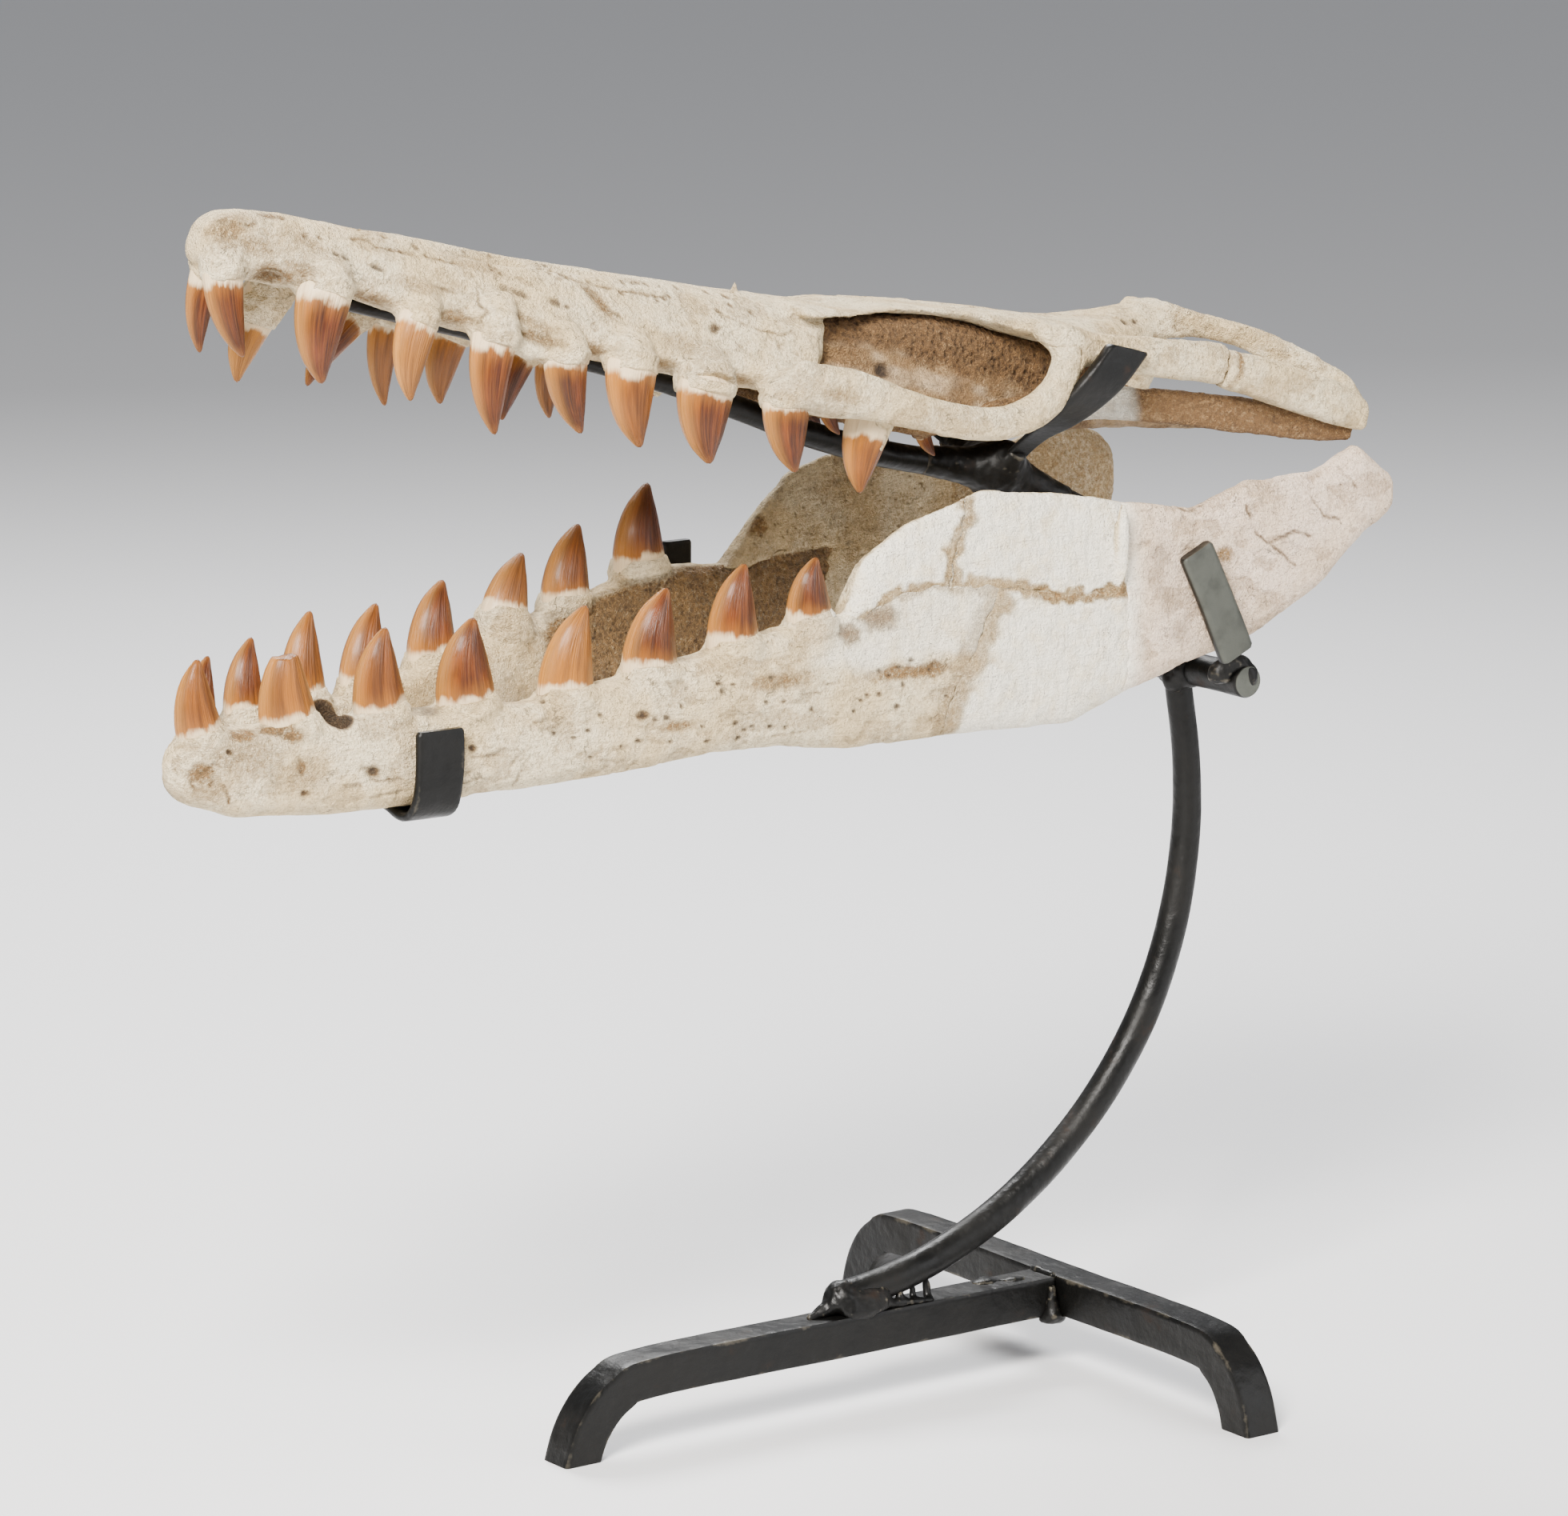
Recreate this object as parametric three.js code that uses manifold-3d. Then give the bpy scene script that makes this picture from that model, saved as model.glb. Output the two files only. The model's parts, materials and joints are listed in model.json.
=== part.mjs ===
// Fossil mosasaur skull, gaping, on a forged-iron tripod stand. Millimetres, +Z up.
// The stand's long base bar runs along X, with the snout towards -X and the animal's left side
// towards -Y. Every bone is lofted in the frame of the skull half that it belongs to: u runs back
// from the snout tip, v to the animal's right and w up from the tooth line.
import * as THREE from 'three';
import Module from 'manifold-3d';

const wasm = await Module();
wasm.setup();

// ---- driving dimensions -------------------------------------------------------------------
const GAP = 0.3;                       // clearance between neighbouring pieces
const FAR = 900;                       // reach of a cutting block
const LEFT = -1, RIGHT = 1;

// Where each half of the skull sits: its snout tip, its heading and, for the cranium, its slope.
const CRANIUM = { at: [-392, 0, 464.7], yaw: 3.5, tilt: 15 };
const JAWS = {
  left: { at: [-412, -13, 290], yaw: -2.6 },
  right: { at: [-404, 13, 290], yaw: 11.3 },
};

const BAR = 16;                        // square bar of the base
const BAR_TOP = 37;                    // its top face above the floor
const ROD = 12.7;                      // round bar of the upright
const STRAP = { width: 15, thick: 4 };
const STEM_FOOT = -236, NEAR_FOOT = -121, FAR_FOOT = 132;   // feet, from the base's joint
const HEAD = { at: [384, -8, -5], radius: 9.5, flat: 0.85 };   // in the cranium's frame
const REAR_BAR = { x: 58.5, z: 274.5, radius: 6.6, left: -41, right: 119 };
const JAW_ROD = { radius: 4.2, y: 14, z: 279 };
const FRONT_STRAP = { x: -320, z: 261.5, width: 20 };
const MID_STRAP = { x: -128, width: 13 };

// ---- finishes -------------------------------------------------------------------------------
const finish = (color, roughness, metalness) => () =>
  new THREE.MeshStandardMaterial({ color, roughness, metalness });
const paleBone = finish(0xdcd2c0, 0.85, 0);
const brownBone = finish(0x9a774f, 0.95, 0);
const pinkBone = finish(0xd8c6bd, 0.85, 0);
const forgedIron = finish(0x2b2a27, 0.5, 0.8);

// ---- solids from rings --------------------------------------------------------------------
const V = (x, y, z) => new THREE.Vector3(x, y, z);
const ALONG = V(1, 0, 0), OUT = V(0, 1, 0), UP = V(0, 0, 1);

// A closed solid over a row of rings with equal point counts, each end closed by a fan.
function skin(rings) {
  const sides = rings[0].length;
  const points = rings.flat();
  const faces = [];
  for (let r = 0; r + 1 < rings.length; r += 1) {
    for (let s = 0; s < sides; s += 1) {
      const a = r * sides + s;
      const b = r * sides + ((s + 1) % sides);
      faces.push([a, b, a + sides], [b, b + sides, a + sides]);
    }
  }
  const lastStart = (rings.length - 1) * sides;
  for (const start of [0, lastStart]) {
    const ring = points.slice(start, start + sides);
    points.push(ring.reduce((sum, p) => sum.add(p), V(0, 0, 0)).divideScalar(sides));
    for (let s = 0; s < sides; s += 1) {
      const edge = [start + s, start + ((s + 1) % sides)];
      if (start === 0) edge.reverse();
      faces.push([points.length - 1, ...edge]);
    }
  }
  let volume = 0;
  for (const [a, b, c] of faces) {
    volume += points[a].dot(V(0, 0, 0).crossVectors(points[b], points[c]));
  }
  if (volume < 0) faces.forEach((face) => face.reverse());
  return new wasm.Manifold(new wasm.Mesh({
    numProp: 3,
    vertProperties: Float32Array.from(points.flatMap((p) => [p.x, p.y, p.z])),
    triVerts: Uint32Array.from(faces.flat()),
  }));
}

const power = (value, exponent) => Math.sign(value) * Math.abs(value) ** exponent;

// A bone that runs along u. A station is [u, low, high, half width low, half width high, v].
function loft(stations, { sides = 10, round = 2.8 } = {}) {
  return skin(stations.map(([u, low, high, wide, narrow = wide, v = 0]) => {
    const ring = [];
    for (let s = 0; s < sides; s += 1) {
      const angle = ((s + 0.5) / sides) * 2 * Math.PI;
      const rise = power(Math.sin(angle), 2 / round);
      const half = THREE.MathUtils.lerp(wide, narrow, (rise + 1) / 2);
      const middle = (low + high) / 2;
      ring.push(V(u, v + half * power(Math.cos(angle), 2 / round), middle + rise * (high - middle)));
    }
    return ring;
  }));
}

// A piece that follows a curve. A stop is [x, y, z, half size across, half size along the normal].
function sweep(stops, across, { sides = 8, steps = 4, round = 2 } = {}) {
  const middles = stops.map(([x, y, z]) => V(x, y, z));
  const curve = new THREE.CatmullRomCurve3(middles, false, 'centripetal');
  const count = (stops.length - 1) * steps;
  const rings = [];
  for (let i = 0; i <= count; i += 1) {
    const t = i / count;
    const index = Math.min(Math.floor(t * (stops.length - 1)), stops.length - 2);
    const share = t * (stops.length - 1) - index;
    const halfAcross = THREE.MathUtils.lerp(stops[index][3], stops[index + 1][3], share);
    const halfNormal = THREE.MathUtils.lerp(stops[index][4], stops[index + 1][4], share);
    const centre = curve.getPoint(t);
    const tangent = curve.getTangent(t);
    const normal = V(0, 0, 0).crossVectors(tangent, across).normalize();
    const side = V(0, 0, 0).crossVectors(normal, tangent).normalize();
    const ring = [];
    for (let s = 0; s < sides; s += 1) {
      const angle = ((s + 0.5) / sides) * 2 * Math.PI;
      ring.push(centre.clone()
        .addScaledVector(side, halfAcross * power(Math.cos(angle), 2 / round))
        .addScaledVector(normal, halfNormal * power(Math.sin(angle), 2 / round)));
    }
    rings.push(ring);
  }
  return skin(rings);
}

const rod = (points, radius, across, options) =>
  sweep(points.map((p) => [...p, radius, radius]), across, options);
// Four corners stand on the section's diagonals, so half sizes grow by this factor for true flats.
const FLAT = Math.SQRT2;
const flatBar = (points, width, thick, across, steps) =>
  sweep(points.map((p) => [...p, (width / 2) * FLAT, (thick / 2) * FLAT]), across, { sides: 4, steps });

// A tooth: root in the bone, collar, and a crown that curves back to a blunt tip.
const TOOTH_SIDES = 6;
const ROOT = 0.42;                               // root radius, and depth, as a share of the diameter
const BOW = { at: 0.55, forward: 0.16 };         // how far the crown swings out before it hooks back
const OVAL = 0.85;                               // breadth of a crown against its length
const GIRTH = [[0, 1], [0.35, 0.9], [0.72, 0.55], [1, 0.12]];
function tooth([u, v, w, tipU, tipV, tipW, diameter]) {
  const base = V(u, v, w);
  const tip = V(tipU, tipV, tipW);
  const up = tip.clone().sub(base);
  const root = base.clone().addScaledVector(up.clone().normalize(), -ROOT * diameter);
  const bow = base.clone().addScaledVector(up, BOW.at).add(V(-BOW.forward * up.length(), 0, 0));
  const axis = new THREE.QuadraticBezierCurve3(base, bow, tip);
  const middles = [root, ...GIRTH.map(([t]) => axis.getPoint(t))];
  const radii = [ROOT, ...GIRTH.map(([, share]) => share / 2)].map((share) => share * diameter);
  return skin(middles.map((middle, i) => {
    const ring = [];
    for (let s = 0; s < TOOTH_SIDES; s += 1) {
      const angle = (s / TOOTH_SIDES) * 2 * Math.PI;
      const [out, over] = [radii[i] * Math.cos(angle), OVAL * radii[i] * Math.sin(angle)];
      ring.push(middle.clone().add(V(out, over, 0)));
    }
    return ring;
  }));
}

function block(low, high) {
  const [nearY, farY, floor, roof] = [low[1], high[1], low[2], high[2]];
  const end = (x) => [V(x, nearY, floor), V(x, farY, floor), V(x, farY, roof), V(x, nearY, roof)];
  return skin([end(low[0]), end(high[0])]);
}

function ball([x, y, z], [rx, ry, rz], sides = 10) {
  const rings = [];
  for (let r = 1; r < sides / 2 + 1; r += 1) {
    const polar = (r / (sides / 2 + 1)) * Math.PI;
    const ring = [];
    for (let s = 0; s < sides; s += 1) {
      const angle = (s / sides) * 2 * Math.PI;
      const [out, over] = [Math.sin(polar) * Math.cos(angle), Math.sin(polar) * Math.sin(angle)];
      ring.push(V(x + rx * out, y + ry * over, z + rz * Math.cos(polar)));
    }
    rings.push(ring);
  }
  return skin(rings);
}

const join = (...solids) => solids.reduce((sum, solid) => sum.add(solid));
const cut = (solid, ...tools) => tools.reduce((rest, tool) => rest.subtract(tool), solid);
const within = (solid, low, high) => solid.intersect(block(low, high));

// ---- the scene graph ------------------------------------------------------------------------
const model = new THREE.Group();
const specimen = new THREE.Group();
model.add(specimen);

function frameGroup({ at, yaw, tilt = 0 }) {
  const group = new THREE.Group();
  group.position.set(...at);
  group.rotation.set(0, THREE.MathUtils.degToRad(tilt), THREE.MathUtils.degToRad(yaw), 'ZYX');
  specimen.add(group);
  group.updateMatrixWorld();
  return group;
}

function place(group, name, solid, material) {
  const { vertProperties, triVerts } = solid.getMesh();
  const geometry = new THREE.BufferGeometry();
  geometry.setAttribute('position', new THREE.BufferAttribute(Float32Array.from(vertProperties), 3));
  geometry.setIndex(new THREE.BufferAttribute(Uint32Array.from(triVerts), 1));
  geometry.computeVertexNormals();
  const mesh = new THREE.Mesh(geometry, material());
  mesh.name = name;
  group.add(mesh);
}

// ---- cranium --------------------------------------------------------------------------------
const cranium = frameGroup(CRANIUM);
const PREMAXILLA_END = 66, ORBIT_FRONT = 258, FRONTAL_END = 392, BLOCK_FRONT = 443;
const ARCH_LOW = 57;                   // underside of the upper arch beside the parietal

// [u, low, high, half width at the tooth line, half width at the top]
const SNOUT = [
  [0, 6, 16, 5, 4], [4, 2, 21.5, 10, 7], [14, 0, 25, 14.5, 9], [32, 1, 27.5, 18, 9], [60, 2.5, 28, 20, 8],
  [88, -0.5, 28.6, 23, 9], [142, -1.5, 30.5, 30, 12], [180, -0.5, 33, 35, 14], [217, 0, 36.5, 39.5, 17],
  [ORBIT_FRONT, 2, 41, 45.5, 25],
];
const ROOF = [
  [ORBIT_FRONT + GAP, 33, 41.2, 45, 26], [285, 39, 45, 47, 28], [308, 44.5, 49.8, 49, 30],
  [330, 45.5, 52.5, 50, 32], [352, 46, 55.5, 44.5, 34], [375, 46, 59.5, 44, 32],
  [FRONTAL_END, 46, 66, 40, 28],
];
const PARIETAL = [
  [FRONTAL_END + GAP, 46, 66, 40, 28], [408, 47, 71, 32, 20], [436, 49, 73.5, 22, 12],
  [462, 52, 71.5, 15, 9],
];
const BRAINCASE = [
  [ORBIT_FRONT + GAP, 7, 32.5, 30], [285, 7, 38.5, 28], [308, 7, 44, 26], [352, 7, 45.5, 25],
  [420, 12, 45.5, 22], [470, 20, 47, 20], [496, 26, 44, 14],
];

// Upper teeth of the left (-) and right (+) rows: [u, v, w, tip u, tip v, tip w, diameter].
const UPPER_TEETH = {
  left: [
    [7, -9, 2, 21, -12, -25, 14], [48, -14.5, 2.5, 53, -17, -29, 19],
    [87, -19.5, 0, 89.5, -22, -29, 15.5], [119, -23.5, 1, 126.5, -26, -34, 17],
    [151, -27.5, -1, 162, -30, -27, 15.5], [176, -31, 1, 186, -34, -27.5, 18],
    [209, -35, 0, 217, -38, -28, 20], [244, -40, 0, 254, -43, -24, 17.5],
  ],
  right: [
    [11, 9.5, 2, 18.5, 11, -27.5, 13], [46, 14, 1, 39.5, 14, -35, 17], [90, 20, -1, 73, 18.5, -31, 13],
    [105, 22, 0, 113, 24, -32, 13], [137, 26, 0, 140.5, 28, -27, 15.5],
    [175, 31, -1, 173, 32, -28, 14], [191, 33, 0, 197, 35, -23.5, 12], [242, 40, -1, 240, 41, -15, 14],
  ],
};
const teethOf = (row) => join(...row.map(tooth));

// The palate is hollowed along the midline for the supporting rod.
const palateHollow = loft([
  [40, -9, 5.5, 6, 3], [88, -9, 6.5, 11, 6], [142, -9, 7, 15, 8], [217, -9, 7.5, 22, 12],
  [300, -9, 8, 30, 16],
]);
const snout = cut(loft(SNOUT, { sides: 14, round: 3.6 }), palateHollow);

const inPremaxilla = ([u]) => u < PREMAXILLA_END;
const frontTeeth = [...UPPER_TEETH.left, ...UPPER_TEETH.right].filter(inPremaxilla);
place(cranium, 'premaxilla', join(
  within(snout, [-FAR, -FAR, -FAR], [PREMAXILLA_END, FAR, FAR]),
  teethOf(frontTeeth),
), paleBone);

const sideNames = [['left', LEFT], ['right', RIGHT]];
const mirrored = (rows, side) => rows.map(([u, v, w, ...sizes]) => [u, side * v, w, ...sizes]);

for (const [name, side] of sideNames) {
  // Maxilla, with a slim process under the orbit that carries the last tooth.
  const half = side === LEFT
    ? within(snout, [PREMAXILLA_END + GAP, -FAR, -FAR], [FAR, -GAP / 2, FAR])
    : within(snout, [PREMAXILLA_END + GAP, GAP / 2, -FAR], [FAR, FAR, FAR]);
  const processPath = [[240, 33, 6, 4.5, 4.5], [275, 35.5, 4, 4, 4], [304, 37, 5, 3, 3.5]];
  const process = sweep(mirrored(processPath, side), UP, { steps: 3 });
  const lastTooth = tooth([291, side * 36.5, 3, 292, side * 38, -27, 13]);
  const sockets = teethOf(UPPER_TEETH[name].filter((row) => !inPremaxilla(row)));
  const maxilla = side === LEFT ? join(half, process, sockets, lastTooth) : join(half, process, sockets);
  place(cranium, `maxilla_${name}`, maxilla, paleBone);

  // Jugal: the bar under the orbit, turning up behind it.
  const jugal = sweep(mirrored([
    [250, 46, 8.5, 3.5, 7], [285, 48, 6.8, 4, 8], [318, 50.5, 7.3, 4.5, 8], [343, 52, 13.5, 4.5, 7.5],
    [359.5, 52.5, 27, 4.5, 7.5], [363, 52, 41, 4.5, 6],
  ], side), OUT, { sides: 8, steps: 2 });
  const beforeOrbit = block([-FAR, -FAR, -FAR], [ORBIT_FRONT + GAP, FAR, FAR]);
  place(cranium, `jugal_${name}`, cut(jugal, beforeOrbit), paleBone);

  // Postorbital with the lower temporal bar.
  place(cranium, `postorbital_${name}`, loft([
    [356, 50, 54, 4, 3, side * 50.5], [364, 44, 55, 5.5, 5, side * 51],
    [376, 36.5, 56, 6, 5, side * 51.2], [391, 34, 52, 5.5, 5, side * 51.5],
    [418, 39.5, 56, 5.5, 5, side * 54], [BLOCK_FRONT - GAP, 44.5, 61, 5.5, 5, side * 56.5],
  ]), paleBone);

  // Squamosal: the upper arch from the parietal out to the rear corner, and the block below it.
  const arch = sweep(mirrored([
    [418, 34, 61, 5.5, 5], [440, 40, 63.5, 5.5, 5], [468, 50, 63, 5.5, 5], [496, 58.5, 57.5, 6, 5.5],
    [511, 62, 50, 6, 5.5],
  ], side), UP, { steps: 2 });
  const rearBlock = loft([
    [BLOCK_FRONT, 41, 57.5, 6, 6, side * 58], [470, 39.5, 57, 6.5, 6, side * 60.5],
    [500, 36, 54, 6.5, 6, side * 63], [514, 36, 48, 5, 4.5, side * 64],
  ]);
  const parietalRoom = loft(PARIETAL.map(([u, low, high, wide, narrow]) =>
    [u, low - GAP, high + GAP, wide + GAP, narrow + GAP]));
  const underArch = block([FRONTAL_END, -FAR, -FAR], [BLOCK_FRONT, FAR, ARCH_LOW]);
  const barRoom = loft([
    [390, 33, 53, 6.5, 6, side * 51.5], [418, 38, 57.5, 6.5, 6, side * 54],
    [BLOCK_FRONT, 43, 62.5, 6.5, 6, side * 56.5],
  ]);
  place(cranium, `squamosal_${name}`,
    cut(join(arch, rearBlock), parietalRoom, underArch, barRoom), paleBone);

  // Pterygoid: a slim palatal bar with small teeth, flaring back to the rear corner.
  const pterygoid = sweep(mirrored([
    [268, 13, 2, 3.5, 3], [330, 14, 3, 4, 3.5], [372, 30, 12, 6, 3], [420, 46, 27, 8.5, 2.8],
    [470, 55, 31, 7, 2.8], [506, 61, 32.5, 2.4, 2.4],
  ], side), UP, { steps: 2, sides: 7 });
  const palateTeeth = [[288, 5], [301, 3], [337, 5]].map(([u, height]) =>
    tooth([u, side * 13.5, 1, u + 9, side * 13.5, -height - 2, 6.5]));
  place(cranium, `pterygoid_${name}`, join(pterygoid, ...palateTeeth), brownBone);
}

place(cranium, 'frontal', loft(ROOF, { sides: 14, round: 3 }), paleBone);
place(cranium, 'parietal', loft(PARIETAL, { sides: 14, round: 2.4 }), paleBone);
place(cranium, 'braincase', loft(BRAINCASE), brownBone);

// ---- mandibles ------------------------------------------------------------------------------
// [u, low, high, half thickness low, half thickness high]
const RAMUS = {
  left: [
    [-1.5, -6, 4, 4], [4, -12, 10, 8], [25, -19.5, 11, 11], [60, -22.5, 10.5, 11.5],
    [100, -24, 10.5, 12], [150, -23.2, 9.5, 12], [186, -21.7, 14, 12], [224, -17.5, 20, 11.5],
    [255, -18.5, 26, 11], [283, -22.5, 28, 10, 9], [293, -22.7, 48, 10, 6], [313, -22.8, 60, 9.5, 5],
    [348, -22.8, 70, 9, 4], [388, -24, 65.5, 9, 4], [414, -14.7, 60, 8.5, 4.5], [448, -5, 54.8, 8, 5],
    [475, 1, 63.8, 8, 6], [507, 18, 64, 8, 6], [527, 36, 73.5, 8, 6], [539, 43, 63, 6, 5],
    [545, 47, 59, 4],
  ],
  right: [
    [14, -9, 4, 5], [19, -15, 7, 9], [32, -19, 8, 11], [60, -20, 8, 11.5], [92, -21, 9, 12],
    [140, -20, 16, 12], [190, -17, 25.5, 12], [237, -14, 33.5, 11.5], [268, -13, 36, 11],
    [296, -14, 33, 10, 9], [315, -15, 51, 9.5, 6], [333, -16, 65, 9, 5], [354, -17, 69, 9, 4],
    [388, -17, 66.5, 9, 4], [420, -10, 64, 8.5, 4.5], [471, 6, 59, 8, 6], [500, 18, 61, 8, 6],
    [522, 27, 61, 7, 6], [529.5, 30, 53, 5],
  ],
};
const LOWER_TEETH = {
  left: [
    [12, 0, 9, 12, -2, 38, 15], [47, 0, 10, 48.5, -2, 36.5, 18], [86, 0, 9.5, 88, -2, 42, 17.5],
    [122, 0, 9.5, 124, -2, 40, 19], [163, 0, 8, 171, -2, 40.5, 19],
    [199.5, 0, 14, 206, -2, 43.5, 18.5], [236, 0, 19, 240, -2, 50.5, 18],
    [270.5, 0, 24, 273, -2, 51, 17],
  ],
  right: [
    [24, 0, 7, 30.5, 2, 32, 14], [46, 0, 7, 51, 2, 35, 15.5], [75, 0, 8, 80, 2, 41, 17],
    [104, 0, 9.5, 113.5, 2, 39.5, 17], [140, 0, 15, 147, 2, 43.5, 18],
    [177, 0, 21.5, 187, 2, 49, 18.5], [210, 0, 29, 218.5, 2, 56, 18], [250.5, 0, 34, 256, 2, 68, 20],
  ],
};
// Where the ramus parts: rear of the tooth row, dentary under the coronoid, articular.
const SUTURES = {
  left: { coronoid: 279, dentary: 338, surangular: 350, articular: 417, seam: 29 },
  right: { coronoid: 296, dentary: 345, surangular: 356, articular: 424, seam: 33 },
};

const jaws = {};
for (const [name] of sideNames) {
  const group = frameGroup(JAWS[name]);
  jaws[name] = group;
  const ramus = loft(RAMUS[name]);
  const { coronoid, dentary, surangular, articular, seam } = SUTURES[name];
  const part = (from, to, low, high) =>
    within(ramus, [from + GAP / 2, -FAR, low + GAP / 2], [to - GAP / 2, FAR, high - GAP / 2]);
  place(group, `dentary_${name}`, join(
    part(-FAR, coronoid, -FAR, FAR),
    within(ramus, [coronoid - 1, -FAR, -FAR], [dentary - GAP / 2, FAR, seam - GAP / 2]),
    teethOf(LOWER_TEETH[name]),
  ), paleBone);
  place(group, `coronoid_${name}`, part(coronoid, surangular, seam, FAR), paleBone);
  place(group, `surangular_${name}`, part(surangular, articular, seam, FAR), paleBone);
  place(group, `angular_${name}`, part(dentary, articular, -FAR, seam), paleBone);
  place(group, `articular_${name}`, part(articular, FAR, -FAR, FAR), pinkBone);
}

// ---- stand ----------------------------------------------------------------------------------
const stand = new THREE.Group();
specimen.add(stand);
const floorCut = block([-FAR, -FAR, -FAR], [FAR, FAR, 0]);
const barAxis = BAR_TOP - BAR / 2;

// The long bar of the base, its front end bent down into a foot.
const stem = cut(flatBar([
  [-BAR / 2 - GAP, 0, barAxis], [-100, 0, barAxis], [-198, 0, barAxis], [-217, 0, barAxis - 4.5],
  [-229, 0, 12], [STEM_FOOT, 0, -8],
], BAR, BAR, OUT, 3), floorCut, block([-BAR / 2 - GAP, -FAR, -FAR], [FAR, FAR, FAR]));
place(stand, 'stand_stem', stem, forgedIron);

// The crossbar, both ends bent down into feet.
place(stand, 'stand_crossbar', cut(flatBar([
  [0, NEAR_FOOT, -8], [0, NEAR_FOOT + 6, 12], [0, NEAR_FOOT + 17, barAxis - 4.5],
  [0, NEAR_FOOT + 35, barAxis], [0, 0, barAxis], [0, FAR_FOOT - 35, barAxis],
  [0, FAR_FOOT - 17, barAxis - 4.5], [0, FAR_FOOT - 6, 12], [0, FAR_FOOT, -8],
], BAR, BAR, ALONG, 3), floorCut), forgedIron);

// Points and stops given in a bone's frame, moved to the stand's.
const worldOf = (group, [u, v, w, ...sizes]) => [...group.localToWorld(V(u, v, w)).toArray(), ...sizes];

// The head: the lump of weld where the upright, the palate rod and the cheek straps meet.
const headAt = worldOf(cranium, HEAD.at);
const head = (extra) => {
  const across = HEAD.radius + extra;
  return ball(headAt, [across, across, HEAD.flat * HEAD.radius + extra]);
};
place(stand, 'stand_head', head(0), forgedIron);

// The upright: it rises from the stem in a long bow and comes forward under the skull.
const upright = (extra) => rod([
  [-112, 0, 42], [-90, 0, 45], [-60, 0, 53], [-30, 0, 66.5], [-3, 0, 85], [22, 0, 109.5], [42, 0, 139],
  [55, 0, 172], [61, 0, 206], [61, 0, 236], [56.5, 0, 264], [51, 2, 303], [36, 7, 334], [12, 11, 350],
  headAt,
], ROD / 2 + extra, OUT, { steps: 1 });
const footWeld = join(ball([-100, 0, 41], [14, 9, 6.5], 8), ball([-80, 0, 40], [12, 8, 6], 8));
const underTop = block([-FAR, -FAR, -FAR], [FAR, FAR, BAR_TOP + GAP]);
place(stand, 'stand_upright', cut(join(upright(0), footWeld), underTop, head(GAP)), forgedIron);

// The palate rod runs forward from the head in the hollow of the palate.
const palateStops = [
  [384, -7, -5, 5.4], [358, 0, -9, 5.4], [325, 0, -10.3, 5.2], [290, 0, -8.8, 5], [255, 0, -5.2, 4.6],
  [215, 0, -1.8, 4], [130, 0, 0.8, 3.5], [62, 0, 1.2, 3.2],
];
const palateRod = (extra) => sweep(palateStops.map(([u, v, w, radius]) =>
  worldOf(cranium, [u, v, w, radius + extra, radius + extra])), OUT, { steps: 1 });
place(stand, 'stand_palate_rod', cut(palateRod(0), head(GAP), upright(GAP)), forgedIron);

// Straps from the head round the outside of the cheeks.
const alongCranium = ALONG.clone().transformDirection(cranium.matrixWorld);
for (const [name, side] of sideNames) {
  const path = [
    [384, 5 * side - 7, -6], [383, 24 * side, -2.5], [382.5, 40 * side, 4], [383.5, 54 * side, 15],
    [385.5, 59.6 * side, 28], [388, 59.8 * side, 47],
  ].map((point) => worldOf(cranium, point));
  place(stand, `stand_cheek_strap_${name}`, cut(
    flatBar(path, STRAP.width, STRAP.thick, alongCranium, 2),
    head(GAP), upright(GAP), palateRod(GAP),
  ), forgedIron);
}

// Bars under the rear of the jaws, one on each side of the upright, with a clip on each outer end.
const rearBar = (from, to, extra) => rod([from, to].map((y) => [REAR_BAR.x, y, REAR_BAR.z]),
  REAR_BAR.radius + extra, ALONG, { steps: 2 });
const uprightSide = ROD / 2 + 2 * GAP;
const CLIP = { width: 15.5, thick: 5, weld: [7, 6.5, 5.5] };
const CLIPS = {
  left: { top: [441.5, -10.8, 40], foot: [463.5, -10.8, -6] },
  right: { top: [448, 10.8, 45], foot: [470, 10.8, -4] },
};
for (const [name, side] of sideNames) {
  place(stand, `stand_rear_bar_${name}`, rearBar(side * uprightSide, REAR_BAR[name], 0), forgedIron);
  const top = worldOf(jaws[name], CLIPS[name].top);
  const foot = worldOf(jaws[name], CLIPS[name].foot);
  const slope = V(...foot).sub(V(...top)).normalize();
  const outward = V(0, side, 0).transformDirection(jaws[name].matrixWorld);
  const across = V(0, 0, 0).crossVectors(slope, outward).normalize();
  const overBar = REAR_BAR.z + REAR_BAR.radius + CLIP.thick - 1;
  const weld = ball([REAR_BAR.x, foot[1] - 4 * side, overBar], CLIP.weld, 8);
  const clip = join(flatBar([top, foot], CLIP.width, CLIP.thick, across, 3), weld);
  place(stand, `stand_clip_${name}`, cut(clip, rearBar(-FAR, FAR, GAP)), forgedIron);
}

// The rod between the jaws, from the right rear bar to the front strap.
const overRearBar = REAR_BAR.z + REAR_BAR.radius + JAW_ROD.radius + GAP;
const overFrontStrap = FRONT_STRAP.z + STRAP.thick / 2 + JAW_ROD.radius + GAP;
place(stand, 'stand_jaw_rod', rod([
  [REAR_BAR.x + 3, JAW_ROD.y + 1, overRearBar], [20, JAW_ROD.y, JAW_ROD.z + 2],
  [-60, JAW_ROD.y, JAW_ROD.z], [-180, JAW_ROD.y, JAW_ROD.z - 3],
  [-280, JAW_ROD.y - 3, overFrontStrap + 1], [FRONT_STRAP.x - 7, JAW_ROD.y - 4, overFrontStrap],
], JAW_ROD.radius, OUT, { steps: 1 }), forgedIron);

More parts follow.
